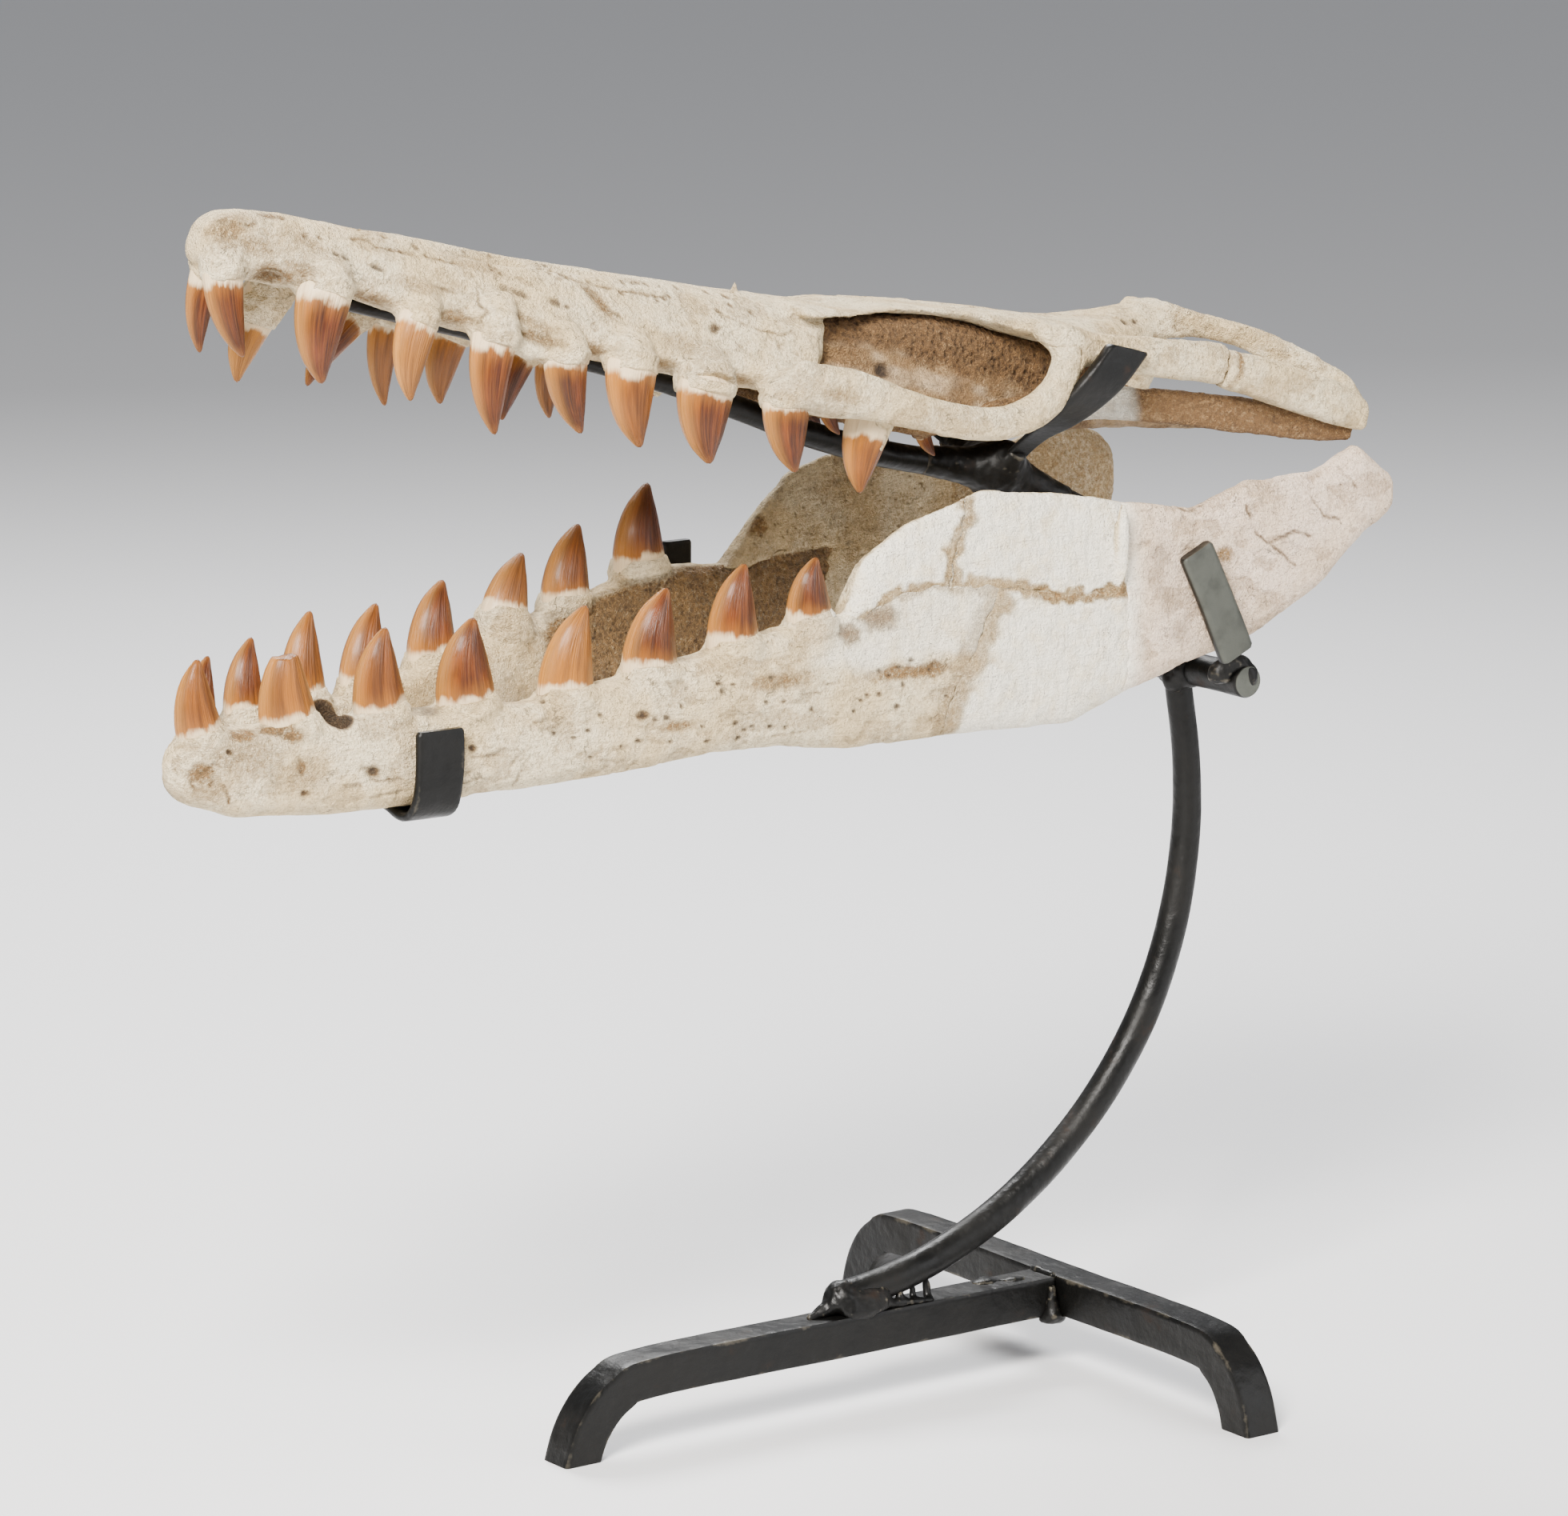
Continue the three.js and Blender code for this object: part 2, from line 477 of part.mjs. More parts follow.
// The front strap passes under both dentaries and turns up outside them.
place(stand, 'stand_front_strap', flatBar([
  [-310, -32, 296], [-311, -32.4, 281], [-316, -30, 267.5], [FRONT_STRAP.x, -21, FRONT_STRAP.z],
  [FRONT_STRAP.x, 10, FRONT_STRAP.z], [FRONT_STRAP.x, 34, FRONT_STRAP.z], [-317, 45, 267],
  [-313, 47.5, 279], [-312, 47.5, 292],
], FRONT_STRAP.width, STRAP.thick, ALONG, 2), forgedIron);

// The middle strap runs from the rod under the right dentary and turns up outside it.
const rodSide = JAW_ROD.y + JAW_ROD.radius + GAP;
place(stand, 'stand_mid_strap', flatBar([
  [rodSide, 272.5], [50, 272.5], [74, 273], [81.5, 281], [82.3, 300], [82.3, 332],
].map(([y, z]) => [MID_STRAP.x, y, z]), MID_STRAP.width, STRAP.thick, ALONG, 2), forgedIron);

// ---- stand the model on the floor, centred on its own box ----------------------------------
const bounds = new THREE.Box3().setFromObject(model, true);
const middle = bounds.getCenter(V(0, 0, 0));
specimen.position.set(-middle.x, -middle.y, -bounds.min.z);

export default model;
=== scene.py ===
# %% [markdown]
# # A fossil mosasaur skull on a forged iron stand
# The skull is a real one that was cleaned, filled with plaster and set gaping on a stand made by
# a blacksmith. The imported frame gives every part's place. This file grows the bones, the teeth
# and the iron in those places, in metres, and gives each its finish.

# %% Load the frame and note its box
import itertools
import json
import math
import bmesh
import bpy
import numpy as np
from mathutils import Matrix, Vector

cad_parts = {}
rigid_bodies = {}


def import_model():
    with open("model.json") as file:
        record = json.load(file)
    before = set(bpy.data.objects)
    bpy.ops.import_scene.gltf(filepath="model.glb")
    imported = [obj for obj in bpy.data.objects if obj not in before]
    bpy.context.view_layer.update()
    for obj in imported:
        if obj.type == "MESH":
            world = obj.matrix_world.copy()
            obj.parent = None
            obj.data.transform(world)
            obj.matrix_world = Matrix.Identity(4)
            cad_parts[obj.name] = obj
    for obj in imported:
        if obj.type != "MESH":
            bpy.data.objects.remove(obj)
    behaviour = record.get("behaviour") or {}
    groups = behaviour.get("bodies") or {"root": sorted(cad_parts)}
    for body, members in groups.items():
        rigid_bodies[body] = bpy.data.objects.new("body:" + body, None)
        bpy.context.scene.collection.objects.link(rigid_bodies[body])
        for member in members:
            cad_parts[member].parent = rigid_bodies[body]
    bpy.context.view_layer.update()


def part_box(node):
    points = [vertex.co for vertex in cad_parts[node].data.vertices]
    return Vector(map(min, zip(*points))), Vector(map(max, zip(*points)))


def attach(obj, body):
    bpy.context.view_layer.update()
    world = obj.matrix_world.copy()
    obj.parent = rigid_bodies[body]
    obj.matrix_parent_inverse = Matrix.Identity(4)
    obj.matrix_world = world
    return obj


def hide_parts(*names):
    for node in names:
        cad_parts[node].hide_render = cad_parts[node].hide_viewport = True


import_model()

# %% [markdown]
# The base of the stand is the easiest thing to measure from: its long bar ends 8.3 mm before the
# crossbar's middle line, and its own middle line is the stand's. All tables below are in
# millimetres from that joint, so a shift and a scale take them to the frame.

# %% Where the stand's joint is, and the three bone frames
MM = 0.001
stem_low, stem_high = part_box("stand_stem")
JOINT = np.array([stem_high.x / MM + 8.3, (stem_low.y + stem_high.y) / 2 / MM, 0.0])


class BoneFrame:
    """u runs back along a bone, v to the animal's right and w up, from the tip of the snout."""

    def __init__(self, at, yaw=0.0, tilt=0.0):
        turn = Matrix.Rotation(math.radians(yaw), 3, "Z") @ Matrix.Rotation(math.radians(tilt), 3, "Y")
        self.axes = np.array(turn)
        self.at = np.array(at, float) + JOINT

    def row(self, points):
        """Points of this frame, in mm, as places in the row frame, in metres."""
        return (np.asarray(points, float) @ self.axes.T + self.at) * MM

    def turned(self, direction):
        return self.axes @ np.array(direction, float)


STAND = BoneFrame([0, 0, 0])
CRANIUM = BoneFrame([-392, 0, 464.7], yaw=3.5, tilt=15)
JAWS = {
    "left": BoneFrame([-412, -13, 290], yaw=-2.6),
    "right": BoneFrame([-404, 13, 290], yaw=11.3),
}
SIDES = {"left": -1, "right": 1}
print("joint of the base at", JOINT)

# %% [markdown]
# The camera stands in front of the animal's left side, a little above the skull, with a long
# lens so that near and far parts keep their sizes. It needs no shift.

# %% Camera
CAMERA_AT = (np.array([-1546.06, -1977.74, 747.68]) + JOINT) * MM
CAMERA_HEADING = math.radians(-35.5)
CAMERA_DROP = math.radians(11.35)

camera_data = bpy.data.cameras.new("studio_camera")
camera_data.lens = 149.9
camera_data.sensor_width = 36.0
camera_data.sensor_fit = "HORIZONTAL"
camera = bpy.data.objects.new("studio_camera", camera_data)
camera.location = CAMERA_AT
camera.rotation_euler = (math.pi / 2 - CAMERA_DROP, 0, CAMERA_HEADING)
bpy.context.scene.collection.objects.link(camera)
bpy.context.scene.camera = camera
print("camera at", CAMERA_AT)

# %% [markdown]
# A pale floor and three large lamps keep the studio plain. The biggest lamp hangs in front and
# above on the left, so the top of every bone is bright and its underside falls into soft shade.

# %% Floor and lights
def flat_finish(name, color, roughness):
    material = bpy.data.materials.new(name)
    material.use_nodes = True
    shader = material.node_tree.nodes["Principled BSDF"]
    shader.inputs["Base Color"].default_value = (*color, 1)
    shader.inputs["Roughness"].default_value = roughness
    return material


FLOOR_HALF = 9.0
floor_mesh = bpy.data.meshes.new("floor")
floor_mesh.from_pydata(
    [(x * FLOOR_HALF, y * FLOOR_HALF, 0) for x, y in ((-1, -1), (1, -1), (1, 1), (-1, 1))],
    [], [(0, 1, 2, 3)])
floor_mesh.materials.append(flat_finish("floor_paint", (0.80, 0.80, 0.81), 0.6))
floor = bpy.data.objects.new("floor", floor_mesh)
bpy.context.scene.collection.objects.link(floor)


def lamp(name, place, aim, size, power, color=(1, 1, 1)):
    """A square soft box that looks from place to aim, both in metres."""
    data = bpy.data.lights.new(name, "AREA")
    data.shape = "SQUARE"
    data.size = size
    data.energy = power
    data.color = color
    light = bpy.data.objects.new(name, data)
    light.location = place
    light.rotation_euler = (Vector(aim) - Vector(place)).to_track_quat("-Z", "Y").to_euler()
    bpy.context.scene.collection.objects.link(light)
    return light


AIM = (0, 0, 0.3)
lamp("key_light", (-1.35, -1.05, 1.7), AIM, 0.8, 175, (1.0, 0.965, 0.92))
lamp("fill_light", (1.3, -1.7, 0.9), AIM, 1.5, 25, (0.98, 0.98, 1.0))
lamp("rim_light", (0.6, 1.3, 1.6), AIM, 0.8, 60)
world = bpy.data.worlds.new("studio")
world.use_nodes = True
world.node_tree.nodes["Background"].inputs["Color"].default_value = (0.80, 0.82, 0.86, 1)
world.node_tree.nodes["Background"].inputs["Strength"].default_value = 0.40
bpy.context.scene.world = world
print("three lamps and a floor of", 2 * FLOOR_HALF, "m")

# %% [markdown]
# ## Finishes
# Five finishes cover the model: pale bone, raw brown bone, pinkish bone, tooth enamel and forged
# iron. They share five small effects, each a node group that is built once: soft patches, dirt
# specks, the grain of bone, wear, and cracks. The groups only give masks and heights. Each material
# mixes its own colours with them and holds its own shader.

# %% A helper that builds shader nodes
def paint(red, green, blue):
    """A colour as a painter would note it, from 0 to 255, turned to scene light values."""
    shares = [value / 255 for value in (red, green, blue)]
    return [s / 12.92 if s < 0.04 else ((s + 0.055) / 1.055) ** 2.4 for s in shares] + [1.0]


class Graph:
    """A node tree under construction."""

    def __init__(self, tree):
        self.tree = tree

    def add(self, kind, links=None, **settings):
        """Adds a node. links maps an input's name or number to a value or to another output."""
        node = self.tree.nodes.new(kind)
        for key, value in settings.items():
            setattr(node, key, value)
        for key, value in (links or {}).items():
            if isinstance(value, bpy.types.NodeSocket):
                self.tree.links.new(value, node.inputs[key])
            else:
                node.inputs[key].default_value = value
        return node.outputs

    def math(self, operation, *values, clamp=False):
        return self.add("ShaderNodeMath", dict(enumerate(values)), operation=operation,
                        use_clamp=clamp)[0]

    def vector(self, operation, *values):
        out = self.add("ShaderNodeVectorMath", dict(enumerate(values)), operation=operation)
        return out["Value"] if operation in ("DOT_PRODUCT", "LENGTH") else out["Vector"]

    def scaled(self, vector, factor):
        return self.add("ShaderNodeVectorMath", {0: vector, "Scale": factor}, operation="SCALE")[0]

    def value_of(self, name):
        return self.add("ShaderNodeAttribute", attribute_name=name)["Fac"]

    def place_of(self, name):
        return self.add("ShaderNodeAttribute", attribute_name=name)["Vector"]

    def blend(self, share, first, second):
        """A colour between two, by a share from 0 to 1."""
        return self.add("ShaderNodeMix", {0: share, 6: first, 7: second}, data_type="RGBA")[2]

    def group(self, effect, **links):
        node = self.tree.nodes.new("ShaderNodeGroup")
        node.node_tree = effect
        for label, value in links.items():
            socket = node.inputs[label.replace("_", " ")]
            if isinstance(value, bpy.types.NodeSocket):
                self.tree.links.new(value, socket)
            else:
                socket.default_value = value
        return node.outputs[0]


def effect(name, inputs, result):
    """An empty shader node group: its graph, its inputs, and its one output socket's name."""
    tree = bpy.data.node_groups.new(name, "ShaderNodeTree")
    for label, (kind, value) in inputs.items():
        socket = tree.interface.new_socket(label, in_out="INPUT", socket_type="NodeSocket" + kind)
        if kind == "Float":
            socket.default_value = value
    tree.interface.new_socket(result, in_out="OUTPUT", socket_type="NodeSocketFloat")
    graph = Graph(tree)
    return graph, graph.add("NodeGroupInput")


# %% The five shared effects
def patches_effect():
    """Soft-edged patches of a given size."""
    graph, given = effect("patches", {
        "Place": ("Vector", None), "Scale": ("Float", 1.0), "Low": ("Float", 0.4),
        "High": ("Float", 0.6)}, "Mask")
    cloud = graph.add("ShaderNodeTexNoise", {
        "Vector": given["Place"], "Scale": given["Scale"], "Detail": 5.0, "Roughness": 0.55})[0]
    mask = graph.add("ShaderNodeMapRange", {
        "Value": cloud, "From Min": given["Low"], "From Max": given["High"]},
        interpolation_type="SMOOTHSTEP")[0]
    graph.add("NodeGroupOutput", {"Mask": mask})
    return graph.tree


def specks_effect():
    """Small dark specks, thick in some places and missing in others."""
    graph, given = effect("specks", {
        "Place": ("Vector", None), "Scale": ("Float", 8.0), "Share": ("Float", 0.2)}, "Mask")
    spots = graph.add("ShaderNodeTexVoronoi", {
        "Vector": given["Place"], "Scale": given["Scale"], "Randomness": 1.0})["Distance"]
    cloud = graph.add("ShaderNodeTexNoise", {
        "Vector": given["Place"], "Scale": 0.9, "Detail": 3.0})[0]
    size = graph.math("MULTIPLY", graph.math("SUBTRACT", cloud, 0.38), given["Share"])
    mask = graph.math("DIVIDE", graph.math("SUBTRACT", size, spots), 0.10, clamp=True)
    graph.add("NodeGroupOutput", {"Mask": mask})
    return graph.tree


def grain_effect():
    """Height of bone's grain: fibres along the bone over a fine tooth."""
    graph, given = effect("grain", {
        "Place": ("Vector", None), "Fibres": ("Float", 0.5), "Pores": ("Float", 0.3)}, "Height")
    stretched = graph.vector("MULTIPLY", given["Place"], (1.1, 8.0, 8.0))
    fibres = graph.add("ShaderNodeTexNoise", {
        "Vector": stretched, "Scale": 1.0, "Detail": 4.0, "Roughness": 0.6})[0]
    tooth = graph.add("ShaderNodeTexNoise", {
        "Vector": given["Place"], "Scale": 9.0, "Detail": 4.0, "Roughness": 0.65})[0]
    holes = graph.add("ShaderNodeTexVoronoi", {
        "Vector": given["Place"], "Scale": 11.0})["Distance"]
    holes = graph.math("MULTIPLY", graph.math("MINIMUM", holes, 0.35), 2.0)
    height = graph.math("ADD", graph.math("MULTIPLY", fibres, given["Fibres"]), graph.math(
        "ADD", graph.math("MULTIPLY", tooth, 0.6), graph.math("MULTIPLY", holes, given["Pores"])))
    graph.add("NodeGroupOutput", {"Height": height})
    return graph.tree


def wear_effect():
    """Where a surface is rubbed: on its edges, and in broken patches beside them."""
    graph, given = effect("wear", {
        "Place": ("Vector", None), "Edge": ("Float", 0.0), "Scale": ("Float", 60.0),
        "Amount": ("Float", 0.5)}, "Mask")
    cloud = graph.add("ShaderNodeTexNoise", {
        "Vector": given["Place"], "Scale": given["Scale"], "Detail": 6.0, "Roughness": 0.65})[0]
    rubbed = graph.math("ADD", graph.math("MULTIPLY", given["Edge"], 0.38), cloud)
    low = graph.math("SUBTRACT", 1.0, given["Amount"])
    mask = graph.math("DIVIDE", graph.math("SUBTRACT", rubbed, low), 0.14, clamp=True)
    graph.add("NodeGroupOutput", {"Mask": mask})
    return graph.tree


def cracks_effect():
    """Thin cracks that wander round flakes of bone, many in some places and none in others."""
    graph, given = effect("cracks", {
        "Place": ("Vector", None), "Scale": ("Float", 1.0), "Share": ("Float", 0.5)}, "Mask")
    bend = graph.add("ShaderNodeTexNoise", {
        "Vector": given["Place"], "Scale": 1.9, "Detail": 5.0, "Roughness": 0.6})["Color"]
    bent = graph.vector("ADD", given["Place"], graph.scaled(
        graph.vector("SUBTRACT", bend, (0.5, 0.5, 0.5)), 1.1))
    edges = graph.add("ShaderNodeTexVoronoi", {
        "Vector": graph.vector("MULTIPLY", bent, (0.55, 1.0, 1.0)), "Scale": given["Scale"]},
        feature="DISTANCE_TO_EDGE")["Distance"]
    cloud = graph.add("ShaderNodeTexNoise", {
        "Vector": given["Place"], "Scale": 1.1, "Detail": 4.0})[0]
    width = graph.math("MULTIPLY", graph.math("ADD", cloud, graph.math(
        "SUBTRACT", given["Share"], 1.0)), 0.11)
    mask = graph.math("DIVIDE", graph.math("SUBTRACT", width, edges), 0.016, clamp=True)
    graph.add("NodeGroupOutput", {"Mask": mask})
    return graph.tree


PATCHES, SPECKS, GRAIN, WEAR, CRACKS = (
    patches_effect(), specks_effect(), grain_effect(), wear_effect(), cracks_effect())
print("shared effects:", [group.name for group in (PATCHES, SPECKS, GRAIN, WEAR, CRACKS)])


# %% [markdown]
# Bone is matt and chalky. Its colour drifts between chalk, cream and grey over a few centimetres,
# raw tan shows where the crust is gone, and dirt and painted shade darken every hollow. Plaster
# fills are whiter and smoother. Stain, shade and plaster come from the skin's own marks.

# %% Bone finishes
# A dark brown that stands for dirt and for painted shade.
DIRT_AND_SHADE = paint(52, 38, 26)
PLASTER = paint(250, 243, 224)


def new_finish(name, roughness):
    """A material with its graph and shader; colour, roughness and bump are linked later."""
    material = bpy.data.materials.new(name)
    material.use_nodes = True
    shader = material.node_tree.nodes["Principled BSDF"]
    shader.inputs["Roughness"].default_value = roughness
    return material, Graph(material.node_tree), shader


def add_bump(graph, shader, height, distance, strength=1.0):
    bump = graph.add("ShaderNodeBump", {
        "Height": height, "Distance": distance, "Strength": strength})[0]
    graph.tree.links.new(bump, shader.inputs["Normal"])


def bone_finish(name, chalk, cream, grey, raw, fibres, hole_depth, specks, depth):
    material, graph, shader = new_finish(name, 0.82)
    place = graph.place_of("grain_place")
    stain, shade, plaster = [graph.value_of(key) for key in ("stain", "shade", "plaster")]
    wide, small, fine, broken, crumbs, streaky = [
        graph.group(PATCHES, Place=place, Scale=scale, Low=low, High=high)
        for scale, low, high in ((0.42, 0.38, 0.62), (2.4, 0.46, 0.74), (8.0, 0.42, 0.70),
                                 (5.0, 0.34, 0.62), (15.0, 0.40, 0.60), (1.3, 0.25, 0.60))]
    color = graph.blend(wide, cream, chalk)
    color = graph.blend(graph.math("MULTIPLY", small, 0.42), color, grey)
    color = graph.blend(graph.math("MULTIPLY", fine, 0.5), color, grey)
    share = graph.math("MULTIPLY", stain, graph.math("ADD", graph.math(
        "MULTIPLY", broken, 0.7), graph.math("MULTIPLY_ADD", crumbs, 0.5, 0.5)), clamp=True)
    color = graph.blend(share, color, raw)
    deep = graph.math("MULTIPLY", graph.math("MULTIPLY", share, fine), 0.55)
    color = graph.blend(deep, color, [0.42 * value for value in raw[:3]] + [1.0])
    cover = graph.math("MULTIPLY", plaster, graph.math("MULTIPLY_ADD", streaky, 0.5, 0.45), clamp=True)
    color = graph.blend(cover, color, PLASTER)
    dots = graph.group(SPECKS, Place=place, Scale=7.0, Share=specks)
    clean = graph.math("MULTIPLY_ADD", plaster, -0.85, 1.0)
    cracks = graph.math("MULTIPLY", graph.group(CRACKS, Place=place, Scale=0.9, Share=0.50), clean)
    # Painted shade and dirt: the skin's shade value, which is painted shade in hollows and pits, joins the dirt specks
    # and cracks to darken the colour.
    dirt_and_shade = graph.math("MAXIMUM", shade, graph.math("MULTIPLY", graph.math(
        "MAXIMUM", dots, cracks), 0.62))
    color = graph.blend(graph.math("MULTIPLY", dirt_and_shade, 0.85), color, DIRT_AND_SHADE)
    graph.tree.links.new(color, shader.inputs["Base Color"])
    matt = graph.math("MULTIPLY_ADD", plaster, -0.12, 0.86)
    graph.tree.links.new(matt, shader.inputs["Roughness"])
    height = graph.group(GRAIN, Place=place, Fibres=fibres, Pores=hole_depth)
    height = graph.math("ADD", height, graph.math("MULTIPLY", small, -0.35))
    height = graph.math("SUBTRACT", height, graph.math("MULTIPLY", graph.math(
        "MAXIMUM", dots, cracks), 0.6))
    height = graph.math("SUBTRACT", height, graph.math("MULTIPLY", graph.math(
        "MULTIPLY", share, crumbs), 0.5))
    height = graph.math("MULTIPLY", height, graph.math("MULTIPLY_ADD", plaster, -0.45, 1.0))
    strokes = graph.group(PATCHES, Place=graph.vector("MULTIPLY", place, (1.6, 1.0, 0.7)),
                          Scale=1.5, Low=0.25, High=0.75)
    height = graph.math("ADD", height, graph.math("MULTIPLY", graph.math(
        "MULTIPLY", strokes, plaster), 0.22))
    add_bump(graph, shader, height, depth)
    return material


# %% Enamel
def enamel_finish():
    """Glossy enamel: dark in the middle of each face, pale at its tip and neck, with a painted highlight along its
    keels.
    """
    material, graph, shader = new_finish("tooth_enamel", 0.3)
    along, neck, tint, warm = [graph.value_of(key) for key in ("along", "neck", "tint", "warm")]
    around = graph.vector("ADD", graph.place_of("round_place"),
                          graph.scaled(graph.place_of("base"), 90.0))
    share = graph.math("DIVIDE", graph.math("SUBTRACT", along, neck), graph.math("SUBTRACT", 1.0, neck))
    wide, fine, clouds = [
        graph.group(PATCHES, Place=graph.vector("MULTIPLY", around, stretch), Scale=1.0, Low=low, High=high)
        for stretch, low, high in (((2.6, 2.6, 0.9), 0.34, 0.66), ((13.0, 13.0, 1.5), 0.36, 0.70),
                                   ((1.2, 1.2, 2.2), 0.36, 0.62))]
    color = graph.blend(
        wide, graph.blend(warm, paint(88, 38, 12), paint(118, 58, 7)),
        graph.blend(warm, paint(46, 17, 5), paint(66, 26, 3)))
    dark = graph.math("MULTIPLY", clouds, graph.math("MULTIPLY_ADD", tint, 1.2, -0.25), clamp=True)
    color = graph.blend(graph.math("MULTIPLY", dark, 0.75), color, paint(30, 12, 5))
    color = graph.blend(graph.math("MULTIPLY", fine, 0.22), color, paint(160, 92, 28))
    pale = graph.math("MULTIPLY", graph.math("SUBTRACT", 0.58, tint), 1.7, clamp=True)
    color = graph.blend(graph.math("MULTIPLY", pale, graph.math("MULTIPLY_ADD", wide, -0.45, 0.85)),
                        color, graph.blend(warm, paint(166, 116, 66), paint(174, 116, 38)))
    # Painted highlight: the front and back keels, which form the outline seen from the side, are lightened like a
    # bright rim.
    keel = graph.math("POWER", graph.math("ABSOLUTE", graph.add(
        "ShaderNodeSeparateXYZ", {0: graph.place_of("round_place")})[0]), 7.0)
    color = graph.blend(graph.math("MULTIPLY", keel, 0.5), color, paint(200, 138, 62))
    top = graph.math("MULTIPLY_ADD", wide, 0.10, share)
    tip = graph.add("ShaderNodeMapRange", {"Value": top, "From Min": 0.86, "From Max": 1.08},
                    interpolation_type="SMOOTHSTEP")[0]
    color = graph.blend(graph.math("MULTIPLY", tip, 0.6), color, paint(160, 98, 42))
    low = graph.add("ShaderNodeMapRange", {"Value": top, "From Min": 0.34, "From Max": 0.02},
                    interpolation_type="SMOOTHSTEP")[0]
    color = graph.blend(graph.math("MULTIPLY", low, 0.35), color, paint(176, 112, 36))
    ragged = graph.math("MULTIPLY_ADD", graph.math("SUBTRACT", fine, 0.5), 0.018, graph.math(
        "MULTIPLY_ADD", graph.math("SUBTRACT", clouds, 0.5), 0.09, share))
    collar = graph.add("ShaderNodeMapRange", {"Value": ragged, "From Min": 0.10, "From Max": 0.0},
                       interpolation_type="SMOOTHSTEP")[0]
    color = graph.blend(graph.math("MULTIPLY", collar, 0.85), color, paint(228, 206, 166))
    graph.tree.links.new(color, shader.inputs["Base Color"])
    rough = graph.math("MULTIPLY_ADD", wide, 0.12, graph.math("MULTIPLY_ADD", collar, 0.4, 0.33))
    graph.tree.links.new(rough, shader.inputs["Roughness"])
    shader.inputs["Coat Weight"].default_value = 0.12
    shader.inputs["Specular IOR Level"].default_value = 0.28
    shader.inputs["Coat Roughness"].default_value = 0.2
    height = graph.math("ADD", wide, graph.math("MULTIPLY", fine, 0.5))
    add_bump(graph, shader, height, 0.00035)
    return material


# %% Iron
def iron_finish():
    """Forged iron under dark wax: satin, brownish where it is rubbed, with a trace of rust."""
    material, graph, shader = new_finish("forged_iron", 0.42)
    place = graph.add("ShaderNodeTexCoord")["Object"]
    edge = graph.value_of("edge")
    shade = graph.value_of("shade")
    rubbed = graph.value_of("rubbed")
    clouds = graph.group(PATCHES, Place=place, Scale=38.0, Low=0.35, High=0.68)
    color = graph.blend(clouds, paint(9, 9, 8), paint(18, 17, 15))
    rust = graph.group(PATCHES, Place=place, Scale=75.0, Low=0.60, High=0.78)
    color = graph.blend(graph.math("MULTIPLY", rust, 0.75), color, paint(42, 29, 20))
    worn = graph.group(WEAR, Place=place, Edge=edge, Scale=70.0, Amount=0.28)
    color = graph.blend(graph.math("MULTIPLY", worn, 0.6), color, paint(92, 86, 74))
    scuffs = graph.group(PATCHES, Place=place, Scale=120.0, Low=0.25, High=0.60)
    bare = graph.math("MULTIPLY", rubbed, graph.math("MULTIPLY_ADD", scuffs, 0.35, 0.65))
    color = graph.blend(bare, color, paint(80, 82, 75))
    # Painted shade: the shade value darkens the hollows of the welds.
    color = graph.blend(graph.math("MULTIPLY", shade, 0.6), color, paint(14, 13, 12))
    graph.tree.links.new(color, shader.inputs["Base Color"])
    rough = graph.math("MULTIPLY_ADD", clouds, 0.16, graph.math("MULTIPLY_ADD", rust, 0.2, 0.36))
    rough = graph.math("MULTIPLY_ADD", worn, -0.08, rough)
    graph.tree.links.new(rough, shader.inputs["Roughness"])
    shader.inputs["Metallic"].default_value = 0.2
    shader.inputs["Specular IOR Level"].default_value = 0.27
    scale = graph.add("ShaderNodeTexNoise", {
        "Vector": place, "Scale": 260.0, "Detail": 4.0, "Roughness": 0.6})[0]
    dents = graph.add("ShaderNodeTexNoise", {"Vector": place, "Scale": 85.0, "Detail": 2.0})[0]
    height = graph.math("ADD", graph.math("MULTIPLY", scale, 0.35), dents)
    add_bump(graph, shader, height, 0.0009)
    return material


FINISHES = {
    "pale_bone": bone_finish(
        "pale_bone", paint(252, 234, 194), paint(242, 216, 166), paint(190, 164, 120),
        paint(182, 140, 84), fibres=0.5, hole_depth=0.35, specks=0.65, depth=0.0038),
    "brown_bone": bone_finish(
        "brown_bone", paint(212, 176, 126), paint(192, 152, 100), paint(150, 116, 74),
        paint(142, 104, 60), fibres=1.0, hole_depth=0.6, specks=0.9, depth=0.0034),
    "pink_bone": bone_finish(
        "pink_bone", paint(246, 222, 198), paint(238, 212, 182), paint(194, 166, 138),
        paint(184, 144, 90), fibres=0.4, hole_depth=0.35, specks=0.75, depth=0.0026),
    "tooth_enamel": enamel_finish(),
    "forged_iron": iron_finish(),
}
print("finishes:", list(FINISHES))

# %% [markdown]
# ## Growing bone
# Bone has no flat faces and no sharp joints, and one bone runs smoothly into the next. Boxes and
# cylinders can't do that, but a field can: a grid of points that each hold their distance to the
# surface, below zero inside. Shapes are melted into the field or carved out of it, and the
# surface is found at the end.

# %% A block of sample points
STEP = 0.9
FAR_AWAY = 30.0
ROOM = 10.0


def melt(a, b, blend):
    """Both shapes, with a fillet where they meet."""
    share = np.clip(0.5 + 0.5 * (b - a) / blend, 0, 1)
    return b + (a - b) * share - blend * share * (1 - share)


